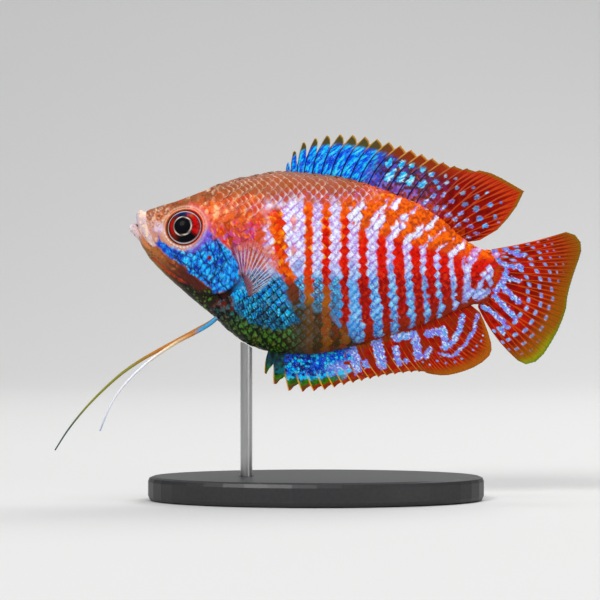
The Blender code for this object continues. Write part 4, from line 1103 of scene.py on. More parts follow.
def coatTree():
    # Mesh of root points in, one plate for each of them out
    tree, ends = newTree("scaleCoat", {
        "Plate": ("Object", None), "Tilt": ("Float", math.radians(5)), "Looseness": ("Float", 0.06),
        "Seed": ("Int", 7), "Finish": ("Material", None),
    })
    plate = newNode(tree, "GeometryNodeObjectInfo", -600, -200, {"Object": ends["Plate"]})
    size, lie, normal = (
        newNode(tree, "GeometryNodeInputNamedAttribute", -600, y, {"Name": label}, data_type="FLOAT_VECTOR")
        for label, y in (("plateSize", 200), ("lie", 40), ("out", -120))
    )
    axes = newNode(tree, "FunctionNodeAxesToRotation", -380, 0, {
        "Primary Axis": normal.outputs["Attribute"], "Secondary Axis": lie.outputs["Attribute"],
    }, primary_axis="Z", secondary_axis="X")
    shake = newNode(tree, "FunctionNodeRandomValue", -600, -420, {
        0: (-1, -1, -1), 1: (1, 1, 1), "Seed": ends["Seed"]}, data_type="FLOAT_VECTOR")
    scaled = newNode(tree, "ShaderNodeVectorMath", -380, -600, {
        0: shake.outputs["Value"], "Scale": ends["Looseness"]}, operation="SCALE")
    negative = newNode(tree, "ShaderNodeMath", -600, -760, {0: ends["Tilt"], 1: -1.0}, operation="MULTIPLY")
    lean = newNode(tree, "ShaderNodeCombineXYZ", -380, -760, {"Y": negative.outputs["Value"]})
    total = newNode(tree, "ShaderNodeVectorMath", -180, -600, {
        0: scaled.outputs["Vector"], 1: lean.outputs["Vector"]}, operation="ADD")
    asTurn = newNode(tree, "FunctionNodeEulerToRotation", -20, -400, {"Euler": total.outputs["Vector"]})
    turn = newNode(tree, "FunctionNodeRotateRotation", 0, -100, {
        "Rotation": axes.outputs["Rotation"], "Rotate By": asTurn.outputs["Rotation"],
    }, rotation_space="LOCAL")
    place = newNode(tree, "GeometryNodeInstanceOnPoints", 250, 0, {
        "Points": ends["Geometry"], "Instance": plate.outputs["Geometry"],
        "Rotation": turn.outputs["Rotation"], "Scale": size.outputs["Attribute"],
    })
    return finishTree(tree, place.outputs["Instances"], ends, 450)


def setInputs(modifier, values):
    sockets = modifier.node_group.interface.items_tree
    names = {item.name: item.identifier for item in sockets if item.in_out == "INPUT"}
    for name, value in values.items():
        modifier[names[name]] = value


def evaluatedMesh(piece):
    bpy.context.view_layer.update()
    graph = bpy.context.evaluated_depsgraph_get()
    shown = piece.evaluated_get(graph)
    mesh = bpy.data.meshes.new_from_object(shown, preserve_all_data_layers=True, depsgraph=graph)
    piece.modifiers.clear()
    piece.data = mesh
    return piece


coatPlan = {
    "columnStep": 0.77, "rowStep": 0.82, "length": 2.06, "width": 2.06, "tilt": 3.6, "looseness": 0.035,
    "seed": 7, "patch": 0.003, "mostFaces": 180000, "ridgeRoom": 0.12, "ridgePress": 0.3,
    "firstRib": 5.6, "lastRib": ribCount - 1.5, "above": 0.02, "deepestPit": -0.1, "reliefEnd": (9.4, 8.8),
    "frontEdge": ((26, -19.5), (31, -19.8), (33.5, -19.4), (33.9, -15.6), (36.5, -12.2), (39.2, -12.1),
                  (42.6, -13.7), (45.6, -15.0), (48, -17.6), (50, -19.6), (54, -20.2)),
}


def rowsOfSites(plan):
    # (rib, angle) of the scale roots on the left side, in staggered rows along the body
    columnStep, rowStep = plan["columnStep"], plan["rowStep"]
    fineRib = np.linspace(plan["firstRib"], plan["lastRib"], 600)
    middle = bodyPoint(fineRib, np.full(len(fineRib), math.pi / 2))
    travelled = np.concatenate([[0], np.cumsum(np.linalg.norm(np.diff(middle, axis=0), axis=1))])
    found = []
    angles = np.linspace(0.02, math.pi - 0.02, 241)
    for column in range(int(travelled[-1] / columnStep) + 1):
        rib = np.interp(column * columnStep, travelled, fineRib)
        ring = bodyPoint(np.full(len(angles), rib), angles)
        reach = np.concatenate([[0], np.cumsum(np.linalg.norm(np.diff(ring, axis=0), axis=1))])
        reach -= np.interp(math.pi / 2, angles, reach)
        row = math.ceil(reach[0] / rowStep)
        while row * rowStep < reach[-1]:
            if (row + column) % 2 == 0:
                found.append((rib, np.interp(row * rowStep, reach, angles)))
            row += 1
    return np.array(found)


def surfaceFrame(rib, angle, grow):
    step = 0.02
    place = bodyPoint(rib, angle, grow)
    back = (bodyPoint(np.minimum(rib + step, ribCount - 1), angle, grow)
            - bodyPoint(np.maximum(rib - step, 0), angle, grow))
    down = bodyPoint(rib, angle + step, grow) - bodyPoint(rib, angle - step, grow)
    normal = np.cross(down, back)
    normal /= np.linalg.norm(normal, axis=1, keepdims=True)
    back /= np.linalg.norm(back, axis=1, keepdims=True)
    normal *= np.sign((normal[:, 1] * place[:, 1] + 1e-9))[:, None]
    return place, back, normal


def coatSites(plan):
    # roots from the gill cover to the tail fin, smaller on the nape, on the ridge and towards the tail
    found = rowsOfSites(plan)
    place = bodyPoint(found[:, 0], found[:, 1])
    x, z = place[:, 0], place[:, 2]
    heights, edges = np.array(plan["frontEdge"]).T
    ahead = x - np.interp(z, heights, edges)
    nearRidge = fade(0.60, 0.15, np.minimum(found[:, 1], math.pi - found[:, 1]))
    nearEdge = fade(3.5, 0.0, ahead) * fade(44, 47, z)
    nearTail = fade(16.5, 20.0, found[:, 0])
    size = (1 - 0.22 * nearTail) * (1 - 0.30 * nearEdge) * (1 - 0.40 * nearRidge)
    flatness = np.maximum(np.maximum(0.75 * nearRidge, 0.85 * nearEdge), 0.5 * nearTail)
    found = np.c_[found, size * plan["length"], size * plan["width"], flatness]
    return found[ahead > 0]


def glossyBlobs(x, z):
    # the small round lights on a blue plate: the way to a blob's border, and a number for each blob
    return cellPattern(*turned(x, z, 30), 0.46, 97)


def plateWithPaintedGlint(points, middle, u, v, chance):
    # one painted highlight, a bright slanting fleck at the same place on each plate, on a lavender or blue
    # field, with a violet border where plates meet
    x, z = points[:, 0], points[:, 2]
    a, b = turned(x - middle[:, 0], z - middle[:, 2], 55)
    other = noise(middle[:, 0] * 41, middle[:, 2] * 41, 1.0, 78)
    a = a - 0.12 - 0.35 * (other - 0.5)
    b = b + 0.04 + 0.30 * (chance - 0.5) + 0.35 * wander(x, z, 0.5, 79)
    # painted highlight: the fleck, white above and ice cyan below
    fleck = bell(np.hypot(a / 0.60, b / (0.17 + 0.16 * other)), 0, 1.0) * fade(-0.05, 0.45, chance)
    border = np.abs(u - 0.62) / 0.40 + np.abs(v) / 0.72 + 0.45 * wander(x, z, 0.22, 72)
    cool = fade(40.6, 36.4, middle[:, 2] + 2.4 * (chance - 0.5)) * (1 - 0.55 * fade(20, 26, x))
    grain = noise(x, z, 0.26, 73)
    blobBorder, blobNumber = glossyBlobs(x, z)
    front = fade(12, -2, x)
    blue = over(
        "fieldBlue",
        ("cyan", 0.85 * fade(0.5, 0.75, grain) * fade(28, 16, x)),
        ("lavender", 0.6 * fade(0.5, 0.2, grain) * fade(10, 20, x)),
    )
    field = over(
        "lavender",
        ("orchid", 0.6 * fade(0.42, 0.18, grain)),
        ("white", 0.8 * fade(0.62, 0.80, grain + 0.20 * front)),
        (blue, cool),
        ("orchid", 0.75 * fade(0.72, 1.0, border) * (1 - cool)),
        ("deepViolet", 0.65 * fade(0.78, 1.05, border) * cool),
        ("deepViolet", 0.75 * fade(0.20, 0.06, blobBorder) * cool),
        ("iceCyan", 0.7 * cool * fade(0.30, 0.45, blobBorder) * fade(0.4, 0.7, blobNumber)),
        ("iceCyan", fleck * cool),
    )
    return over(field, ("iceBlue", fleck * (1 - 0.7 * cool))) * (1 + 0.12 * (1 - cool))[:, None]


def emberPlate(points, middle, pale, chance):
    # an orange plate with a steep pale fleck between the bars
    a, b = turned(points[:, 0] - middle[:, 0], points[:, 2] - middle[:, 2], 62)
    mottled = noise(points[:, 0], points[:, 2], 0.34, 76)
    ragged = 0.5 * wander(points[:, 0], points[:, 2], 0.3, 77)
    gap = np.hypot((a - 0.1) / 1.0, (b + 0.1) / 0.42) + ragged
    return over(
        "orange",
        ("brightOrange", 0.8 * fade(0.5, 0.75, mottled)),
        ("heartBrown", 0.9 * fade(0.50, 0.30, mottled)),
        ("rust", 0.6 * fade(0.65, 0.85, noise(middle[:, 0] * 23, middle[:, 2] * 23, 1.0, 112))),
        ("heartOrange", 0.7 * fade(0.4, 0.2, chance)),
        ("orchid", 0.7 * pale * fade(2.0, 1.5, gap)),
        ("lavender", pale * fade(1.6, 1.2, gap)),
        ("white", pale * fade(1.15, 0.75, gap)),
    )


def paintCoat(mesh):
    points = readVectors(mesh.vertices, "co") / mm
    inScale, middle, root = (
        readVectors(mesh.attributes[name].data, "vector") for name in ("inScale", "plateMiddle", "plateRoot")
    )
    warm = np.maximum(*(insideOf(markPlan[name], middle[:, 0], middle[:, 2], 0.5)
                        for name in ("flush", "flames")))
    share = 0.4 * (1 - 0.8 * warm)[:, None]
    at = points * (1 - share) + middle * share
    at[:, 1] = points[:, 1]
    colour, gleam, zones = bodyPaint(*at.T)
    u, v = inScale[:, 0], inScale[:, 1]
    across = np.abs(v)
    rim = fade(0.74, 0.96, np.maximum(u, across * fade(0.3, 0.5, u)))
    chance = noise(middle[:, 0] * 37, middle[:, 2] * 37, 1.0, 71)
    heart = fade(0.95, 0.35, np.hypot((u - 0.62) / 0.30, v / 0.75))
    back = zones["back"] * fade(-21, -14, middle[:, 0])
    overLine = at[:, 2] - levelAt(markPlan["backLine"], at[:, 0])
    warmth = 0.25 + 0.6 * fade(4.2, 0.8, overLine)
    lowBack = fade(2.6, 0.6, overLine) * fade(0.3, 0.7, chance)
    nearPale = fade(2.6, 0.4, overLine) * fade(-13, -8, at[:, 0])
    dash = fade(0.95, 0.55, np.hypot((u - 0.76) / 0.24, v / 0.75))
    bright = fade(0.15, 0.8, chance)
    low = fade(32.5, 28.5, at[:, 2])
    dashTone = over(
        "teal",
        ("leafGreen", low * fade(-1, -6, at[:, 0])),
        ("oliveGold", 0.5 * fade(0.4, 0.8, noise(at[:, 0], at[:, 2], 0.9, 76))),
    )
    dashShare = 0.6 * zones["belly"] * dash * bright * fade(1, -5, at[:, 0])
    blobBorder, blobNumber = glossyBlobs(points[:, 0], points[:, 2])
    flecks = fade(0.25, 0.5, blobBorder) * fade(0.45, 0.65, blobNumber) * fade(1, -5, at[:, 0])
    gap = fade(0.60, 0.90, np.maximum(u, across * fade(0.3, 0.5, u)))
    lit = fade(0.10, 0.28, blobBorder) * fade(0.06, 0.20, blobNumber)
    between = np.maximum(0.9 * fade(0.20, 0.06, blobBorder), 0.8 * fade(0.25, 0.05, chance))
    lowTiles = fade(33.5, 31.5, at[:, 2] + 1.2 * (chance - 0.5))
    net = zones["net"]
    upper = fade(32.0, 36.0, at[:, 2] + 2.0 * (chance - 0.5))
    gapShare = 0.5 + 0.5 * fade(6, 1, at[:, 0])
    # the pale plates, each with its painted highlight
    paleWithPaintedGlint = plateWithPaintedGlint(points, middle, u, v, chance)
    ember = emberPlate(points, middle, zones["streaks"], chance)
    colour = over(
        colour,
        ("heartBrown", warmth * back * heart * fade(0.1, 0.5, chance)),
        ("heartOrange", 0.8 * back * heart * lowBack),
        ("cream", (0.35 + 0.35 * chance) * rim * back),
        ("orchid", 0.35 * (1 - heart) * back * nearPale),
        ("white", 0.75 * rim * back * nearPale),
        ("amber", 0.35 * rim * zones["band"] * fade(0.4, 0.8, chance)),
        (dashTone, dashShare),
        (dashTone, 0.6 * zones["belly"] * flecks),
        ("cobalt", 0.55 * zones["tiles"] * fade(0.45, 0.2, chance)),
        ("azure", zones["tiles"] * 0.9 * lit),
        ("tileCyan", zones["tiles"] * lit * fade(0.25, 0.5, blobNumber)),
        # painted glints: ice-cyan specks in the middle of the brightest blobs of the tiles
        ("iceCyan", 0.8 * zones["tiles"] * lit * fade(0.45, 0.65, blobBorder) * fade(0.5, 0.7, blobNumber)),
        ("gapNavy", zones["tiles"] * np.maximum(gap, between)),
        ("bellyBlack", 0.7 * zones["tiles"] * lowTiles * (1 - lit * fade(0.4, 0.7, chance))),
        ("cyan", 0.85 * net * fade(0.2, 0.4, blobNumber) * (0.4 + 0.6 * upper)),
        # painted glints: ice-cyan specks in the brightest blobs of the net
        ("iceCyan", net * fade(0.30, 0.50, blobBorder) * fade(0.4, 0.6, blobNumber) * upper),
        ("stripeBrown", net * gapShare * np.maximum(0.85 * gap, fade(0.30, 0.12, blobBorder))),
        (paleWithPaintedGlint, 0.8 * zones["pale"] * (1 - net)),
        (ember, 0.95 * zones["mix"]),
        ("flameLight", 0.55 * rim * zones["flames"] * chance),
        ("flameDark", 0.5 * heart * zones["flames"] * fade(0.4, 0.7, chance)),
    )
    colour = colour * (0.93 + 0.14 * chance)[:, None]
    keepPaint(mesh, colour, np.clip(gleam + 0.3 * zones["belly"] * dash, 0, 1))
    uv = root[:, :2] + (np.c_[u, v * 0.5 + 0.5] - 0.5) * coatPlan["patch"]
    layer = mesh.uv_layers.new(name="OFBake")
    loops = np.zeros(len(mesh.loops), np.int32)
    mesh.loops.foreach_get("vertex_index", loops)
    layer.data.foreach_set("uv", uv[loops].astype(np.float32).ravel())


def settleRidge(mesh):
    # plates that reach over the back line or the belly line are pressed down to it
    points = readVectors(mesh.vertices, "co") / mm
    x, z = points[:, 0], points[:, 2]
    top = edgeHeight(x, True) - coatPlan["ridgeRoom"]
    foot = edgeHeight(x, False) + coatPlan["ridgeRoom"]
    z = np.where(z > top, top + coatPlan["ridgePress"] * (z - top), z)
    points[:, 2] = np.where(z < foot, foot + coatPlan["ridgePress"] * (z - foot), z)
    mesh.vertices.foreach_set("co", (points * mm).astype(np.float32).ravel())


def buildCoat(name, word, sites, tree, template):
    side = sides[word]
    rib, angle = sites[:, 0], sites[:, 1]
    place, lie, normal = surfaceFrame(rib, angle, -skinPlan["inset"] + coatPlan["above"])
    relief = headRelief(place) * fade(*coatPlan["reliefEnd"], rib)
    place = place + normal * np.maximum(relief, coatPlan["deepestPit"])[:, None]
    middle = place + lie * sites[:, 2:3] * 0.6
    lie = lie - normal * (math.radians(coatPlan["tilt"]) * sites[:, 4:5])
    normal = np.cross(np.cross(lie, normal), lie)
    flip = (1, -1, 1) if side > 0 else (1, 1, 1)
    place, lie, normal, middle = (part * flip for part in (place, lie, normal, middle))
    turn = angle / (2 * math.pi)
    root = np.c_[rib / (ribCount - 1), 1 - turn if side > 0 else turn, 0 * rib]
    plateSize = np.c_[sites[:, 2], sites[:, 3], 1 - 0.5 * sites[:, 4]]
    piece = linkedMesh(name, place, [])
    for label, data in (("plateSize", plateSize), ("lie", lie), ("out", normal), ("plateMiddle", middle),
                        ("plateRoot", root)):
        keepVectors(piece.data, label, data)
    modifier = piece.modifiers.new("coat", "NODES")
    modifier.node_group = tree
    setInputs(modifier, {
        "Plate": template, "Tilt": math.radians(coatPlan["tilt"]), "Looseness": coatPlan["looseness"],
        "Seed": coatPlan["seed"], "Finish": materials["scales"],
    })
    evaluatedMesh(piece)
    settleRidge(piece.data)
    paintCoat(piece.data)
    piece.data.shade_smooth()
    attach(piece, "root")
    return sum(len(face.vertices) - 2 for face in piece.data.polygons)


plateTemplate = scaleTemplate(scalePlan)
plateTree = coatTree()
sites = coatSites(coatPlan)
plateFaces = sum(len(face.vertices) - 2 for face in plateTemplate.data.polygons)
pieceCount = math.ceil(len(sites) * plateFaces / coatPlan["mostFaces"])
for word in sides:
    for n, group in enumerate(np.array_split(sites[np.argsort(sites[:, 0], kind="stable")], pieceCount)):
        faces = buildCoat("scales_%s_%d" % (word, n + 1), word, group, plateTree, plateTemplate)
        print("scales", word, n + 1, ":", len(group), "plates,", faces, "triangles")
bpy.data.objects.remove(plateTemplate)


# Eyes: a shallow dome with the iris drawn in rings
def eyePaint(radius, turn):
    # turn is 0 towards the tail and a quarter turn upwards
    grain = noise(turn * 9, radius * 2.5, 1.0, 111)
    rear, up = np.cos(turn), np.sin(turn)
    iris = fade(1.62, 1.9, radius + 0.25 * (grain - 0.5))
    return over(
        "irisBlack",
        ("irisBrown", iris * fade(0.25, 0.8, -rear) * (0.5 + 0.7 * grain)),
        ("irisRed", 0.8 * iris * fade(0.7, 0.95, -rear) * fade(2.5, 2.0, radius)),
        ("irisRed", iris * fade(0.40, 0.75, 0.92 * rear + 0.32 * up) * (0.25 + 1.1 * grain)),
        ("pink", 0.35 * bell(radius, 2.45, 0.2) * fade(0.75, 0.95, rear) * grain),
        ("cobalt", 0.16 * bell(radius, 2.35, 0.3) * fade(0.75, 0.95, up - 0.1 * rear)),
        ("ochre", 0.7 * bell(radius, 2.2, 0.2) * bell(turn, 1.0, 0.16)),
        ("irisBlack", fade(2.5, 2.7, radius) * 0.75),
        # painted highlight: a pale grey-blue arc across the top of the iris
        ("skyPale", 0.55 * bell(radius, 2.62, 0.07) * fade(0.7, 0.95, up)),
        ("ringCream", bell(radius, 1.56, 0.06)),
        ("lipWhite", bell(radius, 2.74, 0.065)),
        ("redBrown", fade(2.82, 2.9, radius)),
    )


def buildEye(word):
    plan = eyePlan
    middle, way = eyes[word]
    rows, count = plan["rows"], plan["around"]
    bend = np.linspace(0.02, math.pi - plan["rearOpen"], rows)[:, None] * np.ones(count)
    turn = np.linspace(0, 2 * math.pi, count, endpoint=False)[None] * np.ones((rows, 1))
    rearward = np.array((1.0, 0, 0)) - way * way[0]
    rearward /= np.linalg.norm(rearward)
    upward = np.cross(way, rearward) * (1 if np.cross(way, rearward)[2] > 0 else -1)
    flatR = plan["radius"] * plan["fit"] * np.sin(bend)
    deep = plan["depth"] * plan["fit"] * np.cos(bend)
    points = middle + (
        flatR[..., None] * (np.cos(turn)[..., None] * rearward + np.sin(turn)[..., None] * upward)
        + deep[..., None] * way
    )
    piece = ringShell("eye_" + word + "_ball", points, points[0].mean(0), points[-1].mean(0))
    facesOut(piece.data)
    near = fade(2.4, 1.2, flatR)
    rearPart = flatR * np.cos(turn) + plan["irisBack"] * near
    upPart = flatR * np.sin(turn) - plan["irisDown"] * near
    colour = eyePaint(np.hypot(rearPart, upPart), turn).reshape(-1, 3)
    shine = np.full(len(colour), 0.4)
    keepPaint(piece.data, withPoles(colour), withPoles(shine))
    piece.data.materials.append(materials["eyes"])
    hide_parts("eye_" + word)
    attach(piece, "root")


for word in sides:
    buildEye(word)
print("eyes made")

# Fins: each ray has a base and a tip, and the membrane between two rays ends in a notch
finPlans = {
    "dorsal": {
        "rays": (
            (0, -5.0, -4.9, 55.9), (1, -4.2, -3.8, 58.0), (2, -3.1, -2.2, 59.6), (3, -2.0, -0.2, 60.3),
            (4, -0.7, 1.8, 60.8), (5, 0.8, 4.0, 61.0), (6, 2.3, 6.1, 60.9), (8, 5.5, 10.2, 60.2),
            (10, 8.5, 14.1, 59.1), (12, 11.7, 17.7, 57.7), (15, 16.5, 23.1, 55.7), (16, 17.8, 25.2, 55.3),
            (18, 20.0, 29.2, 54.5), (20, 21.7, 32.8, 52.6), (21, 22.4, 34.7, 51.5), (22, 23.1, 33.5, 49.0),
            (24, 24.2, 30.2, 45.0), (25, 24.7, 27.3, 43.3),
        ),
        "notches": ((0, 0.1), (1, 0.15), (2, 0.3), (3, 0.47), (4, 0.57), (6, 0.76), (10, 0.88), (17, 0.95),
                    (18, 0.985), (25, 0.985)), "bulge": 0.72,
        "bends": ((0, 0.03), (5, 0.07), (15, 0.08), (21, 0.05), (25, 0.0)),
        "spines": 17, "rows": 66, "sink": -0.7, "swayFrom": 52.0, "swayReach": 8.0, "sway": 0.25,
    },
    "anal": {
        "rays": (
            (0, -7.8, -8.6, 21.2), (1, -6.4, -7.1, 19.4), (2, -5.1, -4.6, 18.2), (3, -3.7, -2.3, 18.0),
            (4, -2.2, -0.4, 18.1), (5, -0.8, 1.4, 18.3), (7, 1.8, 4.6, 19.1), (9, 4.3, 7.6, 19.8),
            (12, 8.3, 11.8, 20.7), (16, 13.0, 17.2, 21.3), (18, 14.8, 19.6, 20.9), (20, 16.5, 22.1, 20.8),
            (23, 19.0, 26.3, 22.1), (25, 20.7, 28.9, 24.0), (27, 22.5, 29.2, 26.2), (29, 24.3, 28.0, 29.8),
            (30, 25.3, 27.3, 31.3),
        ),
        "notches": ((0, 0.3), (1, 0.45), (2, 0.66), (3, 0.8), (4, 0.86), (6, 0.9), (12, 0.94), (17, 0.96),
                    (18, 0.985), (30, 0.985)), "bulge": 0.45,
        "bends": ((0, -0.05), (8, -0.04), (18, -0.06), (24, -0.08), (30, 0.0)),
        "spines": 17, "rows": 60, "sink": 0.7, "swayFrom": 26.0, "swayReach": -8.0, "sway": 0.2,
    },
    "caudal": {
        "rays": (
            (0, 41.7, 44.7), (1, 43.2, 44.2), (2, 44.1, 43.0), (3, 44.2, 41.5), (5, 43.3, 38.6),
            (7, 42.3, 35.4), (8, 41.9, 33.7), (9, 41.7, 32.0), (11, 40.3, 28.2), (13, 38.0, 24.3),
            (14, 36.6, 23.0), (15, 35.0, 22.6), (16, 33.7, 23.2),
        ),
        "notches": ((0, 0.985), (16, 0.985)), "bulge": 0.5,
        "bends": ((0, -0.02), (4, 0.0), (12, 0.0), (14, -0.02), (16, -0.055)),
        "spines": 0, "rows": 96, "rootUpper": (29.3, 41.8), "rootLower": (27.0, 32.2),
    },
    "pectoral": {
        "rays": (
            (0, -13.6, 41.9), (1, -12.0, 42.8), (2, -10.2, 43.0), (3, -8.4, 42.4), (4, -6.8, 41.3),
            (5, -5.9, 39.8), (6, -6.2, 38.0), (7, -7.2, 36.4), (8, -8.6, 35.2),
        ),
        "notches": ((0, 0.985), (8, 0.985)), "bulge": 0.5, "bends": ((0, 0.0), (8, 0.0)),
        "spines": 0, "rows": 44, "rootUpper": (-12.1, 37.0), "rootLower": (-11.1, 33.7),
        "rootIn": 0.5, "stub": 0.9, "flare": 0.8,
    },
    "columns": 22, "membrane": 0.07, "ridge": 0.15,
}


def readTable(table, at):
    rows = np.array(table, float)
    return smoothRows(rows[:, 0], rows[:, 1:], np.asarray(at, float))


def rayEnds(name, plan, ray):
    if name in ("dorsal", "anal"):
        found = readTable(plan["rays"], ray)
        baseX = found[:, 0]
        return np.c_[baseX, edgeHeight(baseX, name == "dorsal") + plan["sink"]], found[:, 1:]
    share = (np.asarray(ray, float) / plan["rays"][-1][0])[:, None]
    base = np.array(plan["rootUpper"]) * (1 - share) + np.array(plan["rootLower"]) * share
    return base, readTable(plan["rays"], ray)


def alongRay(name, plan, ray, along):
    base, tip = rayEnds(name, plan, ray)
    reach = tip - base
    length = np.hypot(*reach.T)
    across = np.c_[-reach[:, 1], reach[:, 0]] / length[:, None]
    bow = 4 * along * (1 - along) * readTable(plan["bends"], ray)[:, 0] * length
    return base + reach * along[:, None] + across * bow[:, None]


def finGrid(name, plan):
    # side-view places, with the ray's number, the share of the way to the next ray, how far along
    # the ray a place is, and how far it is towards the fin's own edge
    last = plan["rays"][-1][0]
    count, rows = finPlans["columns"], plan["rows"]
    ray = np.repeat(np.arange(last), count)
    share = np.tile(np.arange(count) / count, last)
    ray, share = np.append(ray, last - 1), np.append(share, 1.0)
    notch = readTable(plan["notches"], ray + 1.0)[:, 0]
    keys, bulge = (0, 0.04, 0.20, 0.5, 0.72, 0.90, 0.95, 1.0), plan["bulge"]
    free = np.array([
        np.interp(s, keys,
                  (1.0, 0.995, 0.975, k + bulge * (0.97 - k), k + 0.5 * bulge * (0.97 - k), k, k, 1.0))
        for s, k in zip(share, notch)
    ])
    reach = np.where(ray < plan["spines"], free, 1 - 0.004 * np.abs(np.sin(3 * math.pi * share)))
    out = np.repeat(np.linspace(0, 1, rows + 1)[None], len(ray), 0)
    along = reach[:, None] * out
    rayWide, shareWide = (np.repeat(part[:, None], rows + 1, 1) for part in (ray.astype(float), share))
    here = alongRay(name, plan, rayWide.ravel(), along.ravel())
    there = alongRay(name, plan, rayWide.ravel() + 1, along.ravel())
    flatPlace = here + (there - here) * shareWide.reshape(-1, 1)
    return flatPlace.reshape(*along.shape, 2), rayWide, shareWide, along, out


def ridgeHeight(ray, share, along, spines, forkAt):
    # rays stand out of the membrane, and the soft ones fork twice on the way to the edge
    offset = np.where(share > 0.5, share - 1, share)
    isSoft = (np.where(share > 0.5, ray + 1, ray) >= spines).astype(float)
    first = 0.25 * fade(forkAt, forkAt + 0.4, along) * isSoft
    second = 0.11 * fade(forkAt + 0.25, 1.0, along) * isSoft
    width = 0.085 - 0.03 * along
    height = np.zeros(share.shape)
    for a in (-1, 1):
        for b in (-1, 1):
            height = np.maximum(height, np.exp(-(((offset - a * first - b * second) / width) ** 2)))
    joints = 1 - 0.16 * isSoft * (0.5 + 0.5 * np.cos(along * 2 * math.pi * 26)) ** 4
    return height * joints * (1 - 0.45 * along)


def sheetOf(name, place, middle, half):
    # a thin closed sheet from one grid of places, its middle plane and its half thickness
    columns, rows = place.shape[:2]
    count = columns * rows
    x, z = place[..., 0].ravel(), place[..., 1].ravel()
    points = np.concatenate([
        np.c_[x, (middle - half).ravel(), z],
        np.c_[x, (middle + half).ravel(), z],
    ])
    a = (np.arange(columns - 1)[:, None] * rows + np.arange(rows - 1)[None]).ravel()
    quads = np.stack([a, a + rows, a + rows + 1, a + 1], -1)
    faces = np.concatenate([quads, quads[:, ::-1] + count]).tolist()
    rim = rimOf(np.arange(count).reshape(columns, rows).T).tolist()
    faces += [(b, a, a + count, b + count) for a, b in zip(rim, rim[1:] + rim[:1])]
    piece = linkedMesh(name, points, faces)
    facesOut(piece.data)
    return piece


# Spots of the fins: where, half length and half width, and how the length leans
finSpots = {
    "dorsalBlue": (
        (12.2, 56.2, 0.75, 0.42, 55), (12.3, 54.1, 1.15, 0.50, 50), (14.3, 56.0, 0.65, 0.42, 50),
        (14.3, 53.8, 0.95, 0.46, 55), (16.0, 55.8, 0.55, 0.38, 50), (15.7, 53.2, 0.95, 0.42, 50),
        (17.8, 55.2, 0.52, 0.42, 45), (17.7, 52.6, 0.70, 0.50, 45), (19.2, 54.3, 0.48, 0.40, 40),
        (20.0, 53.1, 0.40, 0.33, 40), (21.6, 54.1, 0.34, 0.28, 40), (21.8, 52.9, 0.34, 0.28, 40),
        (20.5, 52.1, 0.40, 0.33, 40), (23.3, 53.5, 0.26, 0.22, 35), (23.5, 52.1, 0.34, 0.30, 35),
        (24.5, 51.1, 0.40, 0.36, 30), (24.8, 49.3, 0.42, 0.40, 25), (26.8, 50.5, 0.40, 0.36, 28),
        (26.7, 48.5, 0.46, 0.42, 20), (27.3, 47.0, 0.48, 0.38, 14), (28.2, 45.7, 0.46, 0.36, 5),
        (29.0, 49.2, 0.40, 0.34, 20), (29.8, 47.2, 0.36, 0.30, 12), (28.5, 51.2, 0.26, 0.20, 26),
        (26.2, 52.0, 0.26, 0.22, 30), (30.8, 49.5, 0.22, 0.18, 18), (30.4, 46.3, 0.22, 0.18, 6),
    ),
    "dorsalLavender": (
        (18.3, 49.7, 0.60, 0.30, 50), (19.6, 50.7, 0.55, 0.30, 45), (20.1, 48.6, 0.60, 0.34, 40),
        (21.3, 48.7, 0.55, 0.34, 38), (21.3, 50.9, 0.45, 0.28, 40), (22.6, 49.8, 0.50, 0.34, 32),
        (22.1, 47.5, 0.55, 0.34, 25), (23.3, 46.8, 0.50, 0.34, 20), (24.2, 47.8, 0.46, 0.32, 20),
        (23.6, 45.8, 0.46, 0.30, 12), (25.0, 46.6, 0.46, 0.32, 12), (25.8, 45.6, 0.46, 0.32, 6),
        (26.7, 44.5, 0.46, 0.28, -4), (25.4, 43.8, 0.40, 0.24, -8),
    ),
    "analDots": (
        *((x, z, 0.17, 0.16, 0) for x, z in (
            (27.8, 27.5), (27.5, 26.5), (26.8, 25.7), (26.2, 25.0), (24.3, 23.5), (23.2, 23.0), (21.7, 22.8),
            (20.2, 23.2), (19.0, 22.5), (17.8, 23.0), (16.5, 23.2),
        )),
        (15.0, 23.2, 0.45, 0.36, -60), (8.3, 22.6, 0.70, 0.50, -60),
    ),
}
finBars = {
    "anal": (
        (((5.9, 25.6), (6.9, 21.9)), 0.90), (((9.9, 27.2), (11.0, 22.6)), 0.95),
        (((13.3, 25.1), (13.8, 22.9)), 0.68), (((13.3, 27.1), (16.4, 27.5), (17.1, 24.1)), 0.80),
        (((18.7, 27.7), (21.2, 28.3), (21.5, 25.4)), 0.68), (((19.1, 25.2), (18.3, 23.9)), 0.48),
        (((24.4, 30.6), (23.8, 28.0), (23.0, 26.8), (22.3, 25.7)), 0.50),
        (((26.9, 30.8), (26.2, 28.0), (25.2, 26.3), (24.3, 25.3), (23.4, 24.3), (22.3, 24.0), (20.7, 24.3)),
         0.34),
    ),
    "caudal": (
        (((29.6, 41.6), (30.5, 39.8), (31.7, 39.0), (34.2, 38.8)), 0.50),
        (((31.4, 41.9), (33.2, 40.9), (34.5, 40.8)), 0.38),
        (((31.7, 38.2), (31.3, 36.5), (30.0, 35.0)), 0.52), (((31.6, 37.0), (33.8, 36.5)), 0.46),
        (((30.8, 35.7), (33.8, 33.1)), 0.52), (((29.8, 33.9), (33.2, 30.4)), 0.54),
        (((27.9, 32.2), (29.8, 31.0), (31.0, 29.9), (31.6, 29.0)), 0.44),
        (((30.8, 28.6), (31.3, 27.5)), 0.34),
    ),
}


def rayShare(ridge, along, low=0.25):
    # 1 on the rays and 0 on the membrane between them
    return fade(low, 0.6, ridge / np.maximum(1 - 0.45 * along, 0.1))


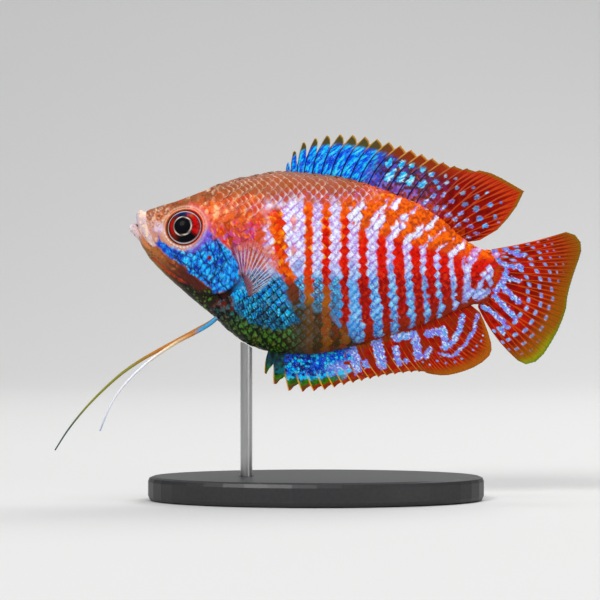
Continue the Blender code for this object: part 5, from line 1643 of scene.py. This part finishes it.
def spotCover(x, z, spots):
    ragged = 0.9 * wander(x, z, 0.26, 121)
    found = np.zeros(x.shape)
    for middleX, middleZ, long, wide, degrees in spots:
        a, b = turned(x - middleX, z - middleZ, degrees)
        size = (np.abs(a / long) ** 3 + np.abs(b / wide) ** 3) ** (1 / 3)
        found = np.maximum(found, fade(1.12, 0.88, size + ragged))
    return found


def barsCover(x, z, bars, wider):
    ragged = 0.5 * wander(x, z, 0.34, 122)
    found = np.zeros(x.shape)
    for line, half in bars:
        gap, _ = nearLine(line, x, z)
        found = np.maximum(found, fade(half + 0.08, half - 0.08, gap + ragged - wider))
    return found


def glossyBlue(x, z, seed):
    border, number = cellPattern(*turned(x, z, 40), 0.45, seed)
    return over(
        "spotLavender",
        ("sky", 0.9 * fade(0.60, 0.30, number)),
        ("iceBlue", 0.9 * fade(0.60, 0.82, noise(x, z, 0.24, seed + 1))),
        ("deepViolet", 0.5 * fade(0.16, 0.04, border)),
    )


def dorsalPaint(x, z, ray, share, along, out, ridge):
    number = ray + share
    onRay = rayShare(ridge, along)
    rear, front = fade(13.5, 18.0, number + 2.5 * (along - 0.5)), fade(10.6, 8.6, number)
    streak = noise(share * 2.2 + ray * 5 + along * 0.8, along * 9 - share * 2.5, 0.5, 81)
    blue = over(
        "finBlue",
        ("azure", fade(0.38, 0.55, streak)),
        ("finCyan", fade(0.52, 0.70, streak) * bell(share, 0.45, 0.5)),
        ("iceCyan", 0.7 * fade(0.80, 0.92, streak) * bell(share, 0.5, 0.25) * fade(3, 6, ray)),
        ("cobalt", 0.8 * fade(0.40, 0.15, streak)),
        ("finNavy", 0.6 * fade(0.14, 0.02, along) + 0.5 * fade(0.16, 0.04, share)),
    )
    middle = over(
        "plum",
        ("finNavy", 0.5 * fade(0.5, 0.8, noise(x, z, 0.6, 83))),
        ("finUmber", 0.85 * fade(9.0, 12.0, number)),
        ("rayOrange", 0.5 * fade(0.60, 0.80, noise(x, z, 0.26, 84)) * fade(10, 12, number)),
        ("violet", 0.5 * fade(0.6, 0.8, noise(x, z, 0.6, 86)) * fade(0.75, 0.4, along)),
        ("spotLavender", 0.7 * fade(0.62, 0.78, noise(x, z, 0.4, 87)) * fade(0.4, 0.2, along)),
        ("finBlue", 0.6 * fade(0.45, 0.75, noise(x, z, 0.45, 96)) * fade(14, 10, number)),
    )
    red = over(
        "finRed",
        ("finDark", fade(0.35, 0.75, noise(x, z, 0.8, 85)) * fade(0.8, 0.5, out)),
        ("rayOrange", 0.7 * onRay),
    )
    shore = fade(0.30, 0.08, along + 0.15 * wander(x, z, 0.5, 87)) * fade(11, 16, number)
    spots = spotCover(x, z, finSpots["dorsalBlue"])
    pale = spotCover(x, z, finSpots["dorsalLavender"])
    olive = fade(-0.05, 0.05, along - 0.74 + 0.04 * wander(x, z, 0.4, 90)) * fade(15.5, 12.5, number)
    brown = fade(0.66, 0.80, along) * fade(8, 11, number) * fade(17.5, 15, number)
    edge = np.maximum(fade(0.955, 0.985, out), onRay * fade(0.6, 0.8, along))
    colour = over(
        middle,
        (blue, front),
        (red, rear),
        ("heartOrange", 0.8 * shore * fade(0.35, 0.65, noise(x, z, 0.32, 88))),
        ("finNavy", onRay * (1 - rear) * 0.9),
        ("spotBlue", spots),
        ("finCyan", spots * fade(21, 16, x)),
        ("iceCyan", 0.8 * spots * fade(0.50, 0.62, streak)),
        ("iceBlue", 0.8 * spots * fade(0.66, 0.8, streak)),
        ("fieldBlue", 0.7 * spots * fade(0.40, 0.2, streak)),
        (glossyBlue(x, z, 89), pale),
        ("tipOlive", olive * fade(0.3, 1.2, number)),
        ("redBrown", 0.8 * brown),
        ("tipGold", edge * (1 - rear) * 0.75),
        ("rust", rear * fade(0.72, 0.84, out) * 0.35),
        ("finDark", 0.5 * rear * fade(0.25, 0.05, ridge) * fade(0.95, 0.8, out)),
        ("marginOlive", rear * fade(0.92, 0.975, out) * 0.85),
    )
    gleam = (front * (1 - olive) + (1 - front) * np.maximum(spots, pale)) * (1 - onRay) * (1 - edge)
    return colour, 0.8 * gleam


def analPaint(x, z, ray, share, along, out, ridge):
    number = ray + share
    onRay = rayShare(ridge, along)
    front = fade(0.3, -0.3, number - 8.4 + 3.0 * wander(x, z, 0.6, 95) - 1.5 * fade(0.6, 0.2, along))
    dark = fade(2.3, 1.7, number)
    toTip = 0.5 * (along + out) + 0.03 * wander(x, z, 0.35, 99)
    border, cell = cellPattern(x, z, 0.45, 91)
    lilac = glossyBlue(x, z, 98)
    green = fade(0.71, 0.75, toTip) * fade(9.0, 6.0, number)
    blue = over(
        "finBlue",
        ("finCyan", fade(0.55, 0.8, cell)),
        ("finNavy", np.maximum(fade(0.2, 0.05, border), fade(0.16, 0.04, along))),
        ("finNavy", 0.85 * fade(0.40, 0.22, cell) * fade(7, 4, number)),
        ("mossGreen", 0.9 * dark),
        ("irisBlack", 0.7 * dark * fade(0.3, 0.7, noise(x, z, 0.6, 92))),
        ("teal", 0.8 * dark * bell(toTip, 0.62, 0.10) * fade(0.3, 0.5, cell)),
        (lilac, fade(5.6, 8.0, number) * fade(0.3, 0.5, along)),
        ("finCyan", 0.9 * bell(toTip, 0.67, 0.06) * fade(0.2, 0.4, cell) * fade(1.7, 2.4, number)),
        ("fernGreen", green),
        ("mossGreen", 0.7 * green * fade(0.4, 0.7, noise(x, z, 0.35, 108))),
    )
    bars = barsCover(x, z, finBars["anal"], -0.08)
    dots = spotCover(x, z, finSpots["analDots"])
    pale = np.maximum(bars, dots)
    red = over(
        "finRed",
        ("finDark", 0.5 * fade(0.5, 0.85, noise(x, z, 0.7, 93))),
        ("rayOrange", 0.8 * onRay),
        ("ochre", 0.7 * fade(0.24, 0.06, along) * fade(20, 12, number)),
        ("finBrown", 0.6 * fade(0.35, 0.7, noise(x, z, 0.5, 94))),
        (lilac, pale),
    )
    edge = fade(0.85, 0.89, toTip) * fade(18, 15, number)
    colour = over(
        red,
        (blue, front),
        ("finBrown", edge),
        ("rust", 0.45 * edge * fade(0.4, 0.7, noise(x, z, 0.4, 92)) * (1 - dark)),
        ("tipOlive", 0.85 * edge * fade(4.5, 3.0, number + 4 * fade(0.93, 0.98, toTip))),
        ("tipGold", 0.8 * onRay * fade(0.45, 0.75, along) * fade(18, 15, number)),
        ("amber", 0.6 * onRay * fade(0.6, 0.9, along) * fade(12, 7, number)),
        ("ochre", fade(0.80, 0.96, out) * fade(15, 20, number) * 0.85),
    )
    gleam = (front * (1 - dark) * fade(0.84, 0.78, out) + (1 - front) * pale) * (1 - onRay)
    return colour, 0.8 * gleam


def caudalPaint(x, z, ray, share, along, out, ridge):
    onRay = rayShare(ridge, along)
    outer = fade(0.55, 0.85, out + 0.06 * wander(x, z, 0.9, 103))
    colour = over(
        "finRed",
        ("red", 0.35 * fade(0.3, 0.6, noise(x, z, 0.6, 106))),
        ("finDark", 0.8 * fade(0.45, 0.85, noise(x, z, 0.9, 101))),
        ("orange", 0.8 * fade(0.20, 0.05, along) * fade(34, 38, z)),
        ("finBrown", 0.85 * outer),
        ("rayOrange", onRay * (0.9 - 0.3 * outer)),
    )
    away = np.hypot(x - 29.0, z - 34.7)
    spots = np.zeros(x.shape)
    for middle, half in ((6.5, 0.30), (8.5, 0.29), (10.3, 0.24), (11.7, 0.15), (12.9, 0.11)):
        shift = 0.22 * np.sin(ray * 2.1 + middle)
        size = np.abs((away - middle - shift) / half) ** 3 + np.abs((share - 0.5) / half) ** 3
        spots = np.maximum(spots, fade(1.4, 0.7, size + 0.5 * wander(x, z, 0.2, 102)))
    spots = spots * fade(0.10, 0.2, along) * fade(0.9, 0.84, out)
    bars = barsCover(x, z, finBars["caudal"], -0.05)
    spotTone = over(glossyBlue(x, z, 105), ("sky", 0.55))
    lowOut = fade(0.78, 0.99, out + 0.12 * fade(38, 26, z))
    colour = over(
        colour,
        (spotTone, 0.95 * spots),
        (glossyBlue(x, z, 104), bars),
        ("marginOlive", lowOut * (0.85 - 0.45 * onRay)),
        ("rimGreen", 0.85 * fade(0.86, 0.98, out) * fade(30.0, 25.5, z) * fade(16.0, 15.0, ray + share)),
        ("finDark", 0.45 * outer * fade(0.35, 0.1, ridge) * (1 - 0.6 * lowOut)),
        ("marginGreen", fade(0.95, 0.995, out) * (0.35 + 0.4 * fade(38, 28, z))),
        ("orange", 0.6 * fade(0.5, 0.1, ray + share) * fade(0.9, 0.6, along)),
    )
    return colour, 0.7 * np.maximum(bars, spots)


def pectoralPaint(x, z, ray, share, along, out, ridge):
    onRay = rayShare(ridge, along, 0.15)
    colour = over(
        "fleshMauve",
        ("rayMilk", 0.25 + 0.75 * onRay),
        ("fleshMauve", fade(0.24, 0.12, along)),
        ("maroon", 0.5 * fade(0.24, 0.12, along)),
        ("maroon", fade(0.24, 0.12, along) * fade(0.9, 0.2, np.minimum(ray + share, 8 - ray - share))),
    )
    clear = 0.07 + 0.55 * onRay * fade(1.02, 0.5, along) + 0.85 * fade(0.24, 0.14, along)
    return colour, np.zeros(x.shape), np.clip(clear, 0, 1)


def finSway(name, plan, x, z, side):
    if name in ("dorsal", "anal"):
        out = np.clip((z - plan["swayFrom"]) / plan["swayReach"], 0, 1)
        return plan["sway"] * out * np.sin(x * 0.42)
    if name == "caudal":
        return 0.35 * np.maximum(x - 30.0, 0) / 14.0 * np.sin((z - 22.0) * 0.55)
    upper, lower = plan["rootUpper"], plan["rootLower"]
    out, _ = nearLine((upper, lower), x, z)
    root = skinHalfWidth((upper[0] + lower[0]) / 2, (upper[1] + lower[1]) / 2)[0] - plan["rootIn"]
    return side * (root + plan["stub"] * (1 - np.exp(-out / 0.35)) + plan["flare"] * out - 0.03 * out**2)


finPaints = {"dorsal": dorsalPaint, "anal": analPaint, "caudal": caudalPaint, "pectoral": pectoralPaint}


def buildFin(name, piece, node, side=1.0):
    plan = finPlans[name]
    place, ray, share, along, out = finGrid(name, plan)
    x, z = place[..., 0], place[..., 1]
    ridge = ridgeHeight(ray, share, along, plan["spines"], 0.08 if name == "pectoral" else 0.35)
    half = finPlans["membrane"] * (1 - 0.4 * along) + finPlans["ridge"] * ridge + 0.4 * np.exp(-along / 0.05)
    half[:, -1] *= 0.4
    middle = finSway(name, plan, x, z, side)
    fin = sheetOf(piece, place, middle, half)
    painted = finPaints[name](x, z, ray, share, along, out, ridge)
    colour, gleam = painted[0].reshape(-1, 3), painted[1].ravel()
    clear = np.tile(painted[2].ravel(), 2) if len(painted) > 2 else None
    keepPaint(fin.data, np.concatenate([colour, colour]), np.tile(gleam, 2), clear)
    fin.data.materials.append(materials["sideFins" if name == "pectoral" else "fins"])
    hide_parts(node)
    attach(fin, "root")


for name in ("dorsal", "anal", "caudal"):
    buildFin(name, name + "Fin", name + "_fin")
for word, side in sides.items():
    buildFin("pectoral", "pectoralFin_" + word, "pectoral_fin_" + word, side)
print("fins made")

# Feelers: long threads that taper to the tip
feelerPlans = {
    "left": {
        "path": (
            (-15.6, -0.9, 31.6), (-16.0, -1.0, 30.9), (-17.6, -1.5, 29.4), (-19.9, -2.0, 28.0),
            (-22.6, -2.5, 26.6), (-25.0, -2.9, 25.1), (-27.4, -3.2, 23.4), (-29.7, -3.5, 21.4),
            (-31.6, -3.7, 19.4), (-33.1, -3.8, 17.4), (-34.4, -3.8, 15.0), (-35.7, -3.8, 11.7),
        ),
        "tones": ((0.0, "oliveGold"), (0.08, "feelerBlue"), (0.17, "feelerBlue"), (0.22, "feelerOrange"),
                  (0.36, "feelerCream"), (0.55, "feelerWhite"), (0.85, "feelerWhite"), (1.0, "lipBlue")),
    },
    "right": {
        "path": (
            (-15.6, 0.9, 31.6), (-16.0, 1.0, 30.9), (-17.6, 1.5, 29.6), (-20.2, 2.0, 28.2),
            (-23.2, 2.6, 26.6), (-26.2, 3.1, 25.0), (-29.4, 3.6, 23.2), (-32.6, 4.1, 21.0),
            (-35.9, 4.5, 18.1), (-39.0, 4.8, 14.9), (-41.8, 5.0, 11.4), (-44.0, 5.1, 8.0),
        ),
        "tones": ((0.0, "oliveGold"), (0.15, "feelerOrange"), (0.35, "feelerOrange"), (0.5, "feelerOlive"),
                  (0.75, "feelerOlive"), (0.88, "feelerGrey"), (1.0, "feelerGrey")),
    },
    "rootRadius": 0.38, "tipRadius": 0.12, "steps": 120, "around": 14,
}


def feelerTree():
    # A line in, a tapered round thread out
    tree, ends = newTree("feelerThread", {
        "Root Radius": ("Float", 0.0004), "Tip Radius": ("Float", 0.0001), "Sides": ("Int", 12),
        "Finish": ("Material", None),
    })
    toCurve = newNode(tree, "GeometryNodeMeshToCurve", -600, 0, {"Mesh": ends["Geometry"]})
    share = newNode(tree, "GeometryNodeSplineParameter", -600, -200).outputs["Factor"]
    taper = newNode(tree, "ShaderNodeMapRange", -400, -200, {
        "Value": share, "To Min": ends["Root Radius"], "To Max": ends["Tip Radius"]})
    ring = newNode(tree, "GeometryNodeCurvePrimitiveCircle", -200, -200,
                   {"Resolution": ends["Sides"], "Radius": 1.0})
    keep = newNode(tree, "GeometryNodeStoreNamedAttribute", -200, 0, {
        "Name": "threadShare", "Geometry": toCurve.outputs["Curve"], "Value": share,
    }, data_type="FLOAT", domain="POINT")
    tube = newNode(tree, "GeometryNodeCurveToMesh", 150, 0, {
        "Fill Caps": True, "Curve": keep.outputs["Geometry"], "Profile Curve": ring.outputs["Curve"],
        "Scale": taper.outputs["Result"],
    })
    return finishTree(tree, tube.outputs["Mesh"], ends, 400)


def buildFeeler(word, tree):
    plan, steps = feelerPlans[word], feelerPlans["steps"]
    path = smoothRows(np.arange(len(plan["path"])), plan["path"],
                      np.linspace(0, len(plan["path"]) - 1, steps + 1))
    piece = linkedMesh("feeler_" + word + "_thread", path, [])
    piece.data.clear_geometry()
    piece.data.from_pydata(path * mm, [(n, n + 1) for n in range(steps)], [])
    modifier = piece.modifiers.new("thread", "NODES")
    modifier.node_group = tree
    setInputs(modifier, {
        "Root Radius": feelerPlans["rootRadius"] * mm, "Tip Radius": feelerPlans["tipRadius"] * mm,
        "Sides": feelerPlans["around"], "Finish": materials["feelers"],
    })
    evaluatedMesh(piece)
    share = np.zeros(len(piece.data.vertices), np.float32)
    piece.data.attributes["threadShare"].data.foreach_get("value", share)
    stops = [stop for stop, _ in plan["tones"]]
    colour = np.stack([np.interp(share, stops, [tones[name][n] for _, name in plan["tones"]])
                       for n in range(3)], -1)
    keepPaint(piece.data, colour, 0.3 * np.ones(len(colour)))
    facesOut(piece.data)
    piece.data.shade_smooth()
    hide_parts("feeler_" + word)
    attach(piece, "root")


threadTree = feelerTree()
for word in sides:
    buildFeeler(word, threadTree)
print("feelers made")

# Stand: the solids stay, with a satin black base and a brushed rod
standPlan = {
    "base": {"dark": (0.012, 0.012, 0.013), "light": (0.030, 0.030, 0.032), "roughness": 0.42, "metal": 0.0,
             "grain": 0.5, "stretch": (1.0, 1.0, 1.0), "bump": 0.15},
    "rod": {"dark": (0.34, 0.34, 0.35), "light": (0.58, 0.58, 0.57), "roughness": 0.28, "metal": 1.0,
            "grain": 0.12, "stretch": (1.0, 1.0, 0.04), "bump": 0.1},
}


def standMaterial(name, look):
    material, tree, shader = newMaterial(name)
    place = newNode(tree, "ShaderNodeTexCoord", -1000, 0)
    stretch = newNode(tree, "ShaderNodeMapping", -800, 0, {
        "Scale": look["stretch"], "Vector": place.outputs["Object"]})
    clouds = newNode(tree, "ShaderNodeTexNoise", -600, 0, {
        "Scale": 1 / (look["grain"] * mm), "Detail": 4.0, "Vector": stretch.outputs["Vector"]}).outputs["Fac"]
    ramp = newNode(tree, "ShaderNodeValToRGB", -400, 100, {"Fac": clouds})
    for stop, colour in zip(ramp.color_ramp.elements, (look["dark"], look["light"])):
        stop.color = (*colour, 1)
    bump = newNode(tree, "ShaderNodeBump", -400, -200, {
        "Strength": look["bump"], "Distance": 0.05 * mm, "Height": clouds})
    feed(shader, {
        "Base Color": ramp.outputs["Color"], "Normal": bump.outputs["Normal"], "Roughness": look["roughness"],
        "Metallic": look["metal"],
    })
    return material


for name, look in standPlan.items():
    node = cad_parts["stand_" + name]
    node.data.materials.clear()
    node.data.materials.append(standMaterial("stand_" + name, look))
print("stand dressed")

# Floor and light
stagePlan = {"reach": 4.0, "back": 0.55, "curve": 0.7, "height": 2.2, "tone": (0.62, 0.62, 0.61),
             "roughness": 0.8}


def buildStage(plan):
    bend = [(plan["back"] + plan["curve"] * math.sin(a), plan["curve"] * (1 - math.cos(a)))
            for a in np.linspace(0, math.pi / 2, 17)]
    profile = [(-plan["reach"], 0.0)] + bend + [(plan["back"] + plan["curve"], plan["height"])]
    points = [(x / mm, y / mm, z / mm) for x in (-plan["reach"], plan["reach"]) for y, z in profile]
    count = len(profile)
    faces = [(n, n + count, n + count + 1, n + 1) for n in range(count - 1)]
    floor = linkedMesh("floor", points, faces)
    material, _, shader = newMaterial("paleFloor")
    feed(shader, {"Base Color": (*plan["tone"], 1), "Roughness": plan["roughness"]})
    floor.data.materials.append(material)


lightPlan = {
    "key": {"place": (-0.55, -1.00, 0.95), "size": 0.50, "power": 12.0},
    "fill": {"place": (0.95, -1.00, 0.40), "size": 0.90, "power": 2.6},
    "top": {"place": (0.05, 0.05, 1.20), "size": 0.90, "power": 7.0},
    "rear": {"place": (0.45, 0.45, 0.70), "size": 0.50, "power": 4.0},
}
skyPlan = {"tone": (0.92, 0.95, 1.0), "strength": 0.24}


def buildLights(plan, sky):
    target = Vector((0, 0, 0.038))
    for name, light in plan.items():
        data = bpy.data.lights.new(name, "AREA")
        data.shape = "DISK"
        data.size = light["size"]
        data.energy = light["power"]
        lamp = bpy.data.objects.new(name, data)
        lamp.location = light["place"]
        lamp.rotation_euler = (target - lamp.location).to_track_quat("-Z", "Y").to_euler()
        scene.collection.objects.link(lamp)
    world = bpy.data.worlds.new("studio")
    world.use_nodes = True
    feed(world.node_tree.nodes["Background"], {"Color": (*sky["tone"], 1), "Strength": sky["strength"]})
    scene.world = world
    scene.view_settings.view_transform = "Standard"


buildStage(stagePlan)
buildLights(lightPlan, skyPlan)
print("stage and lights set")
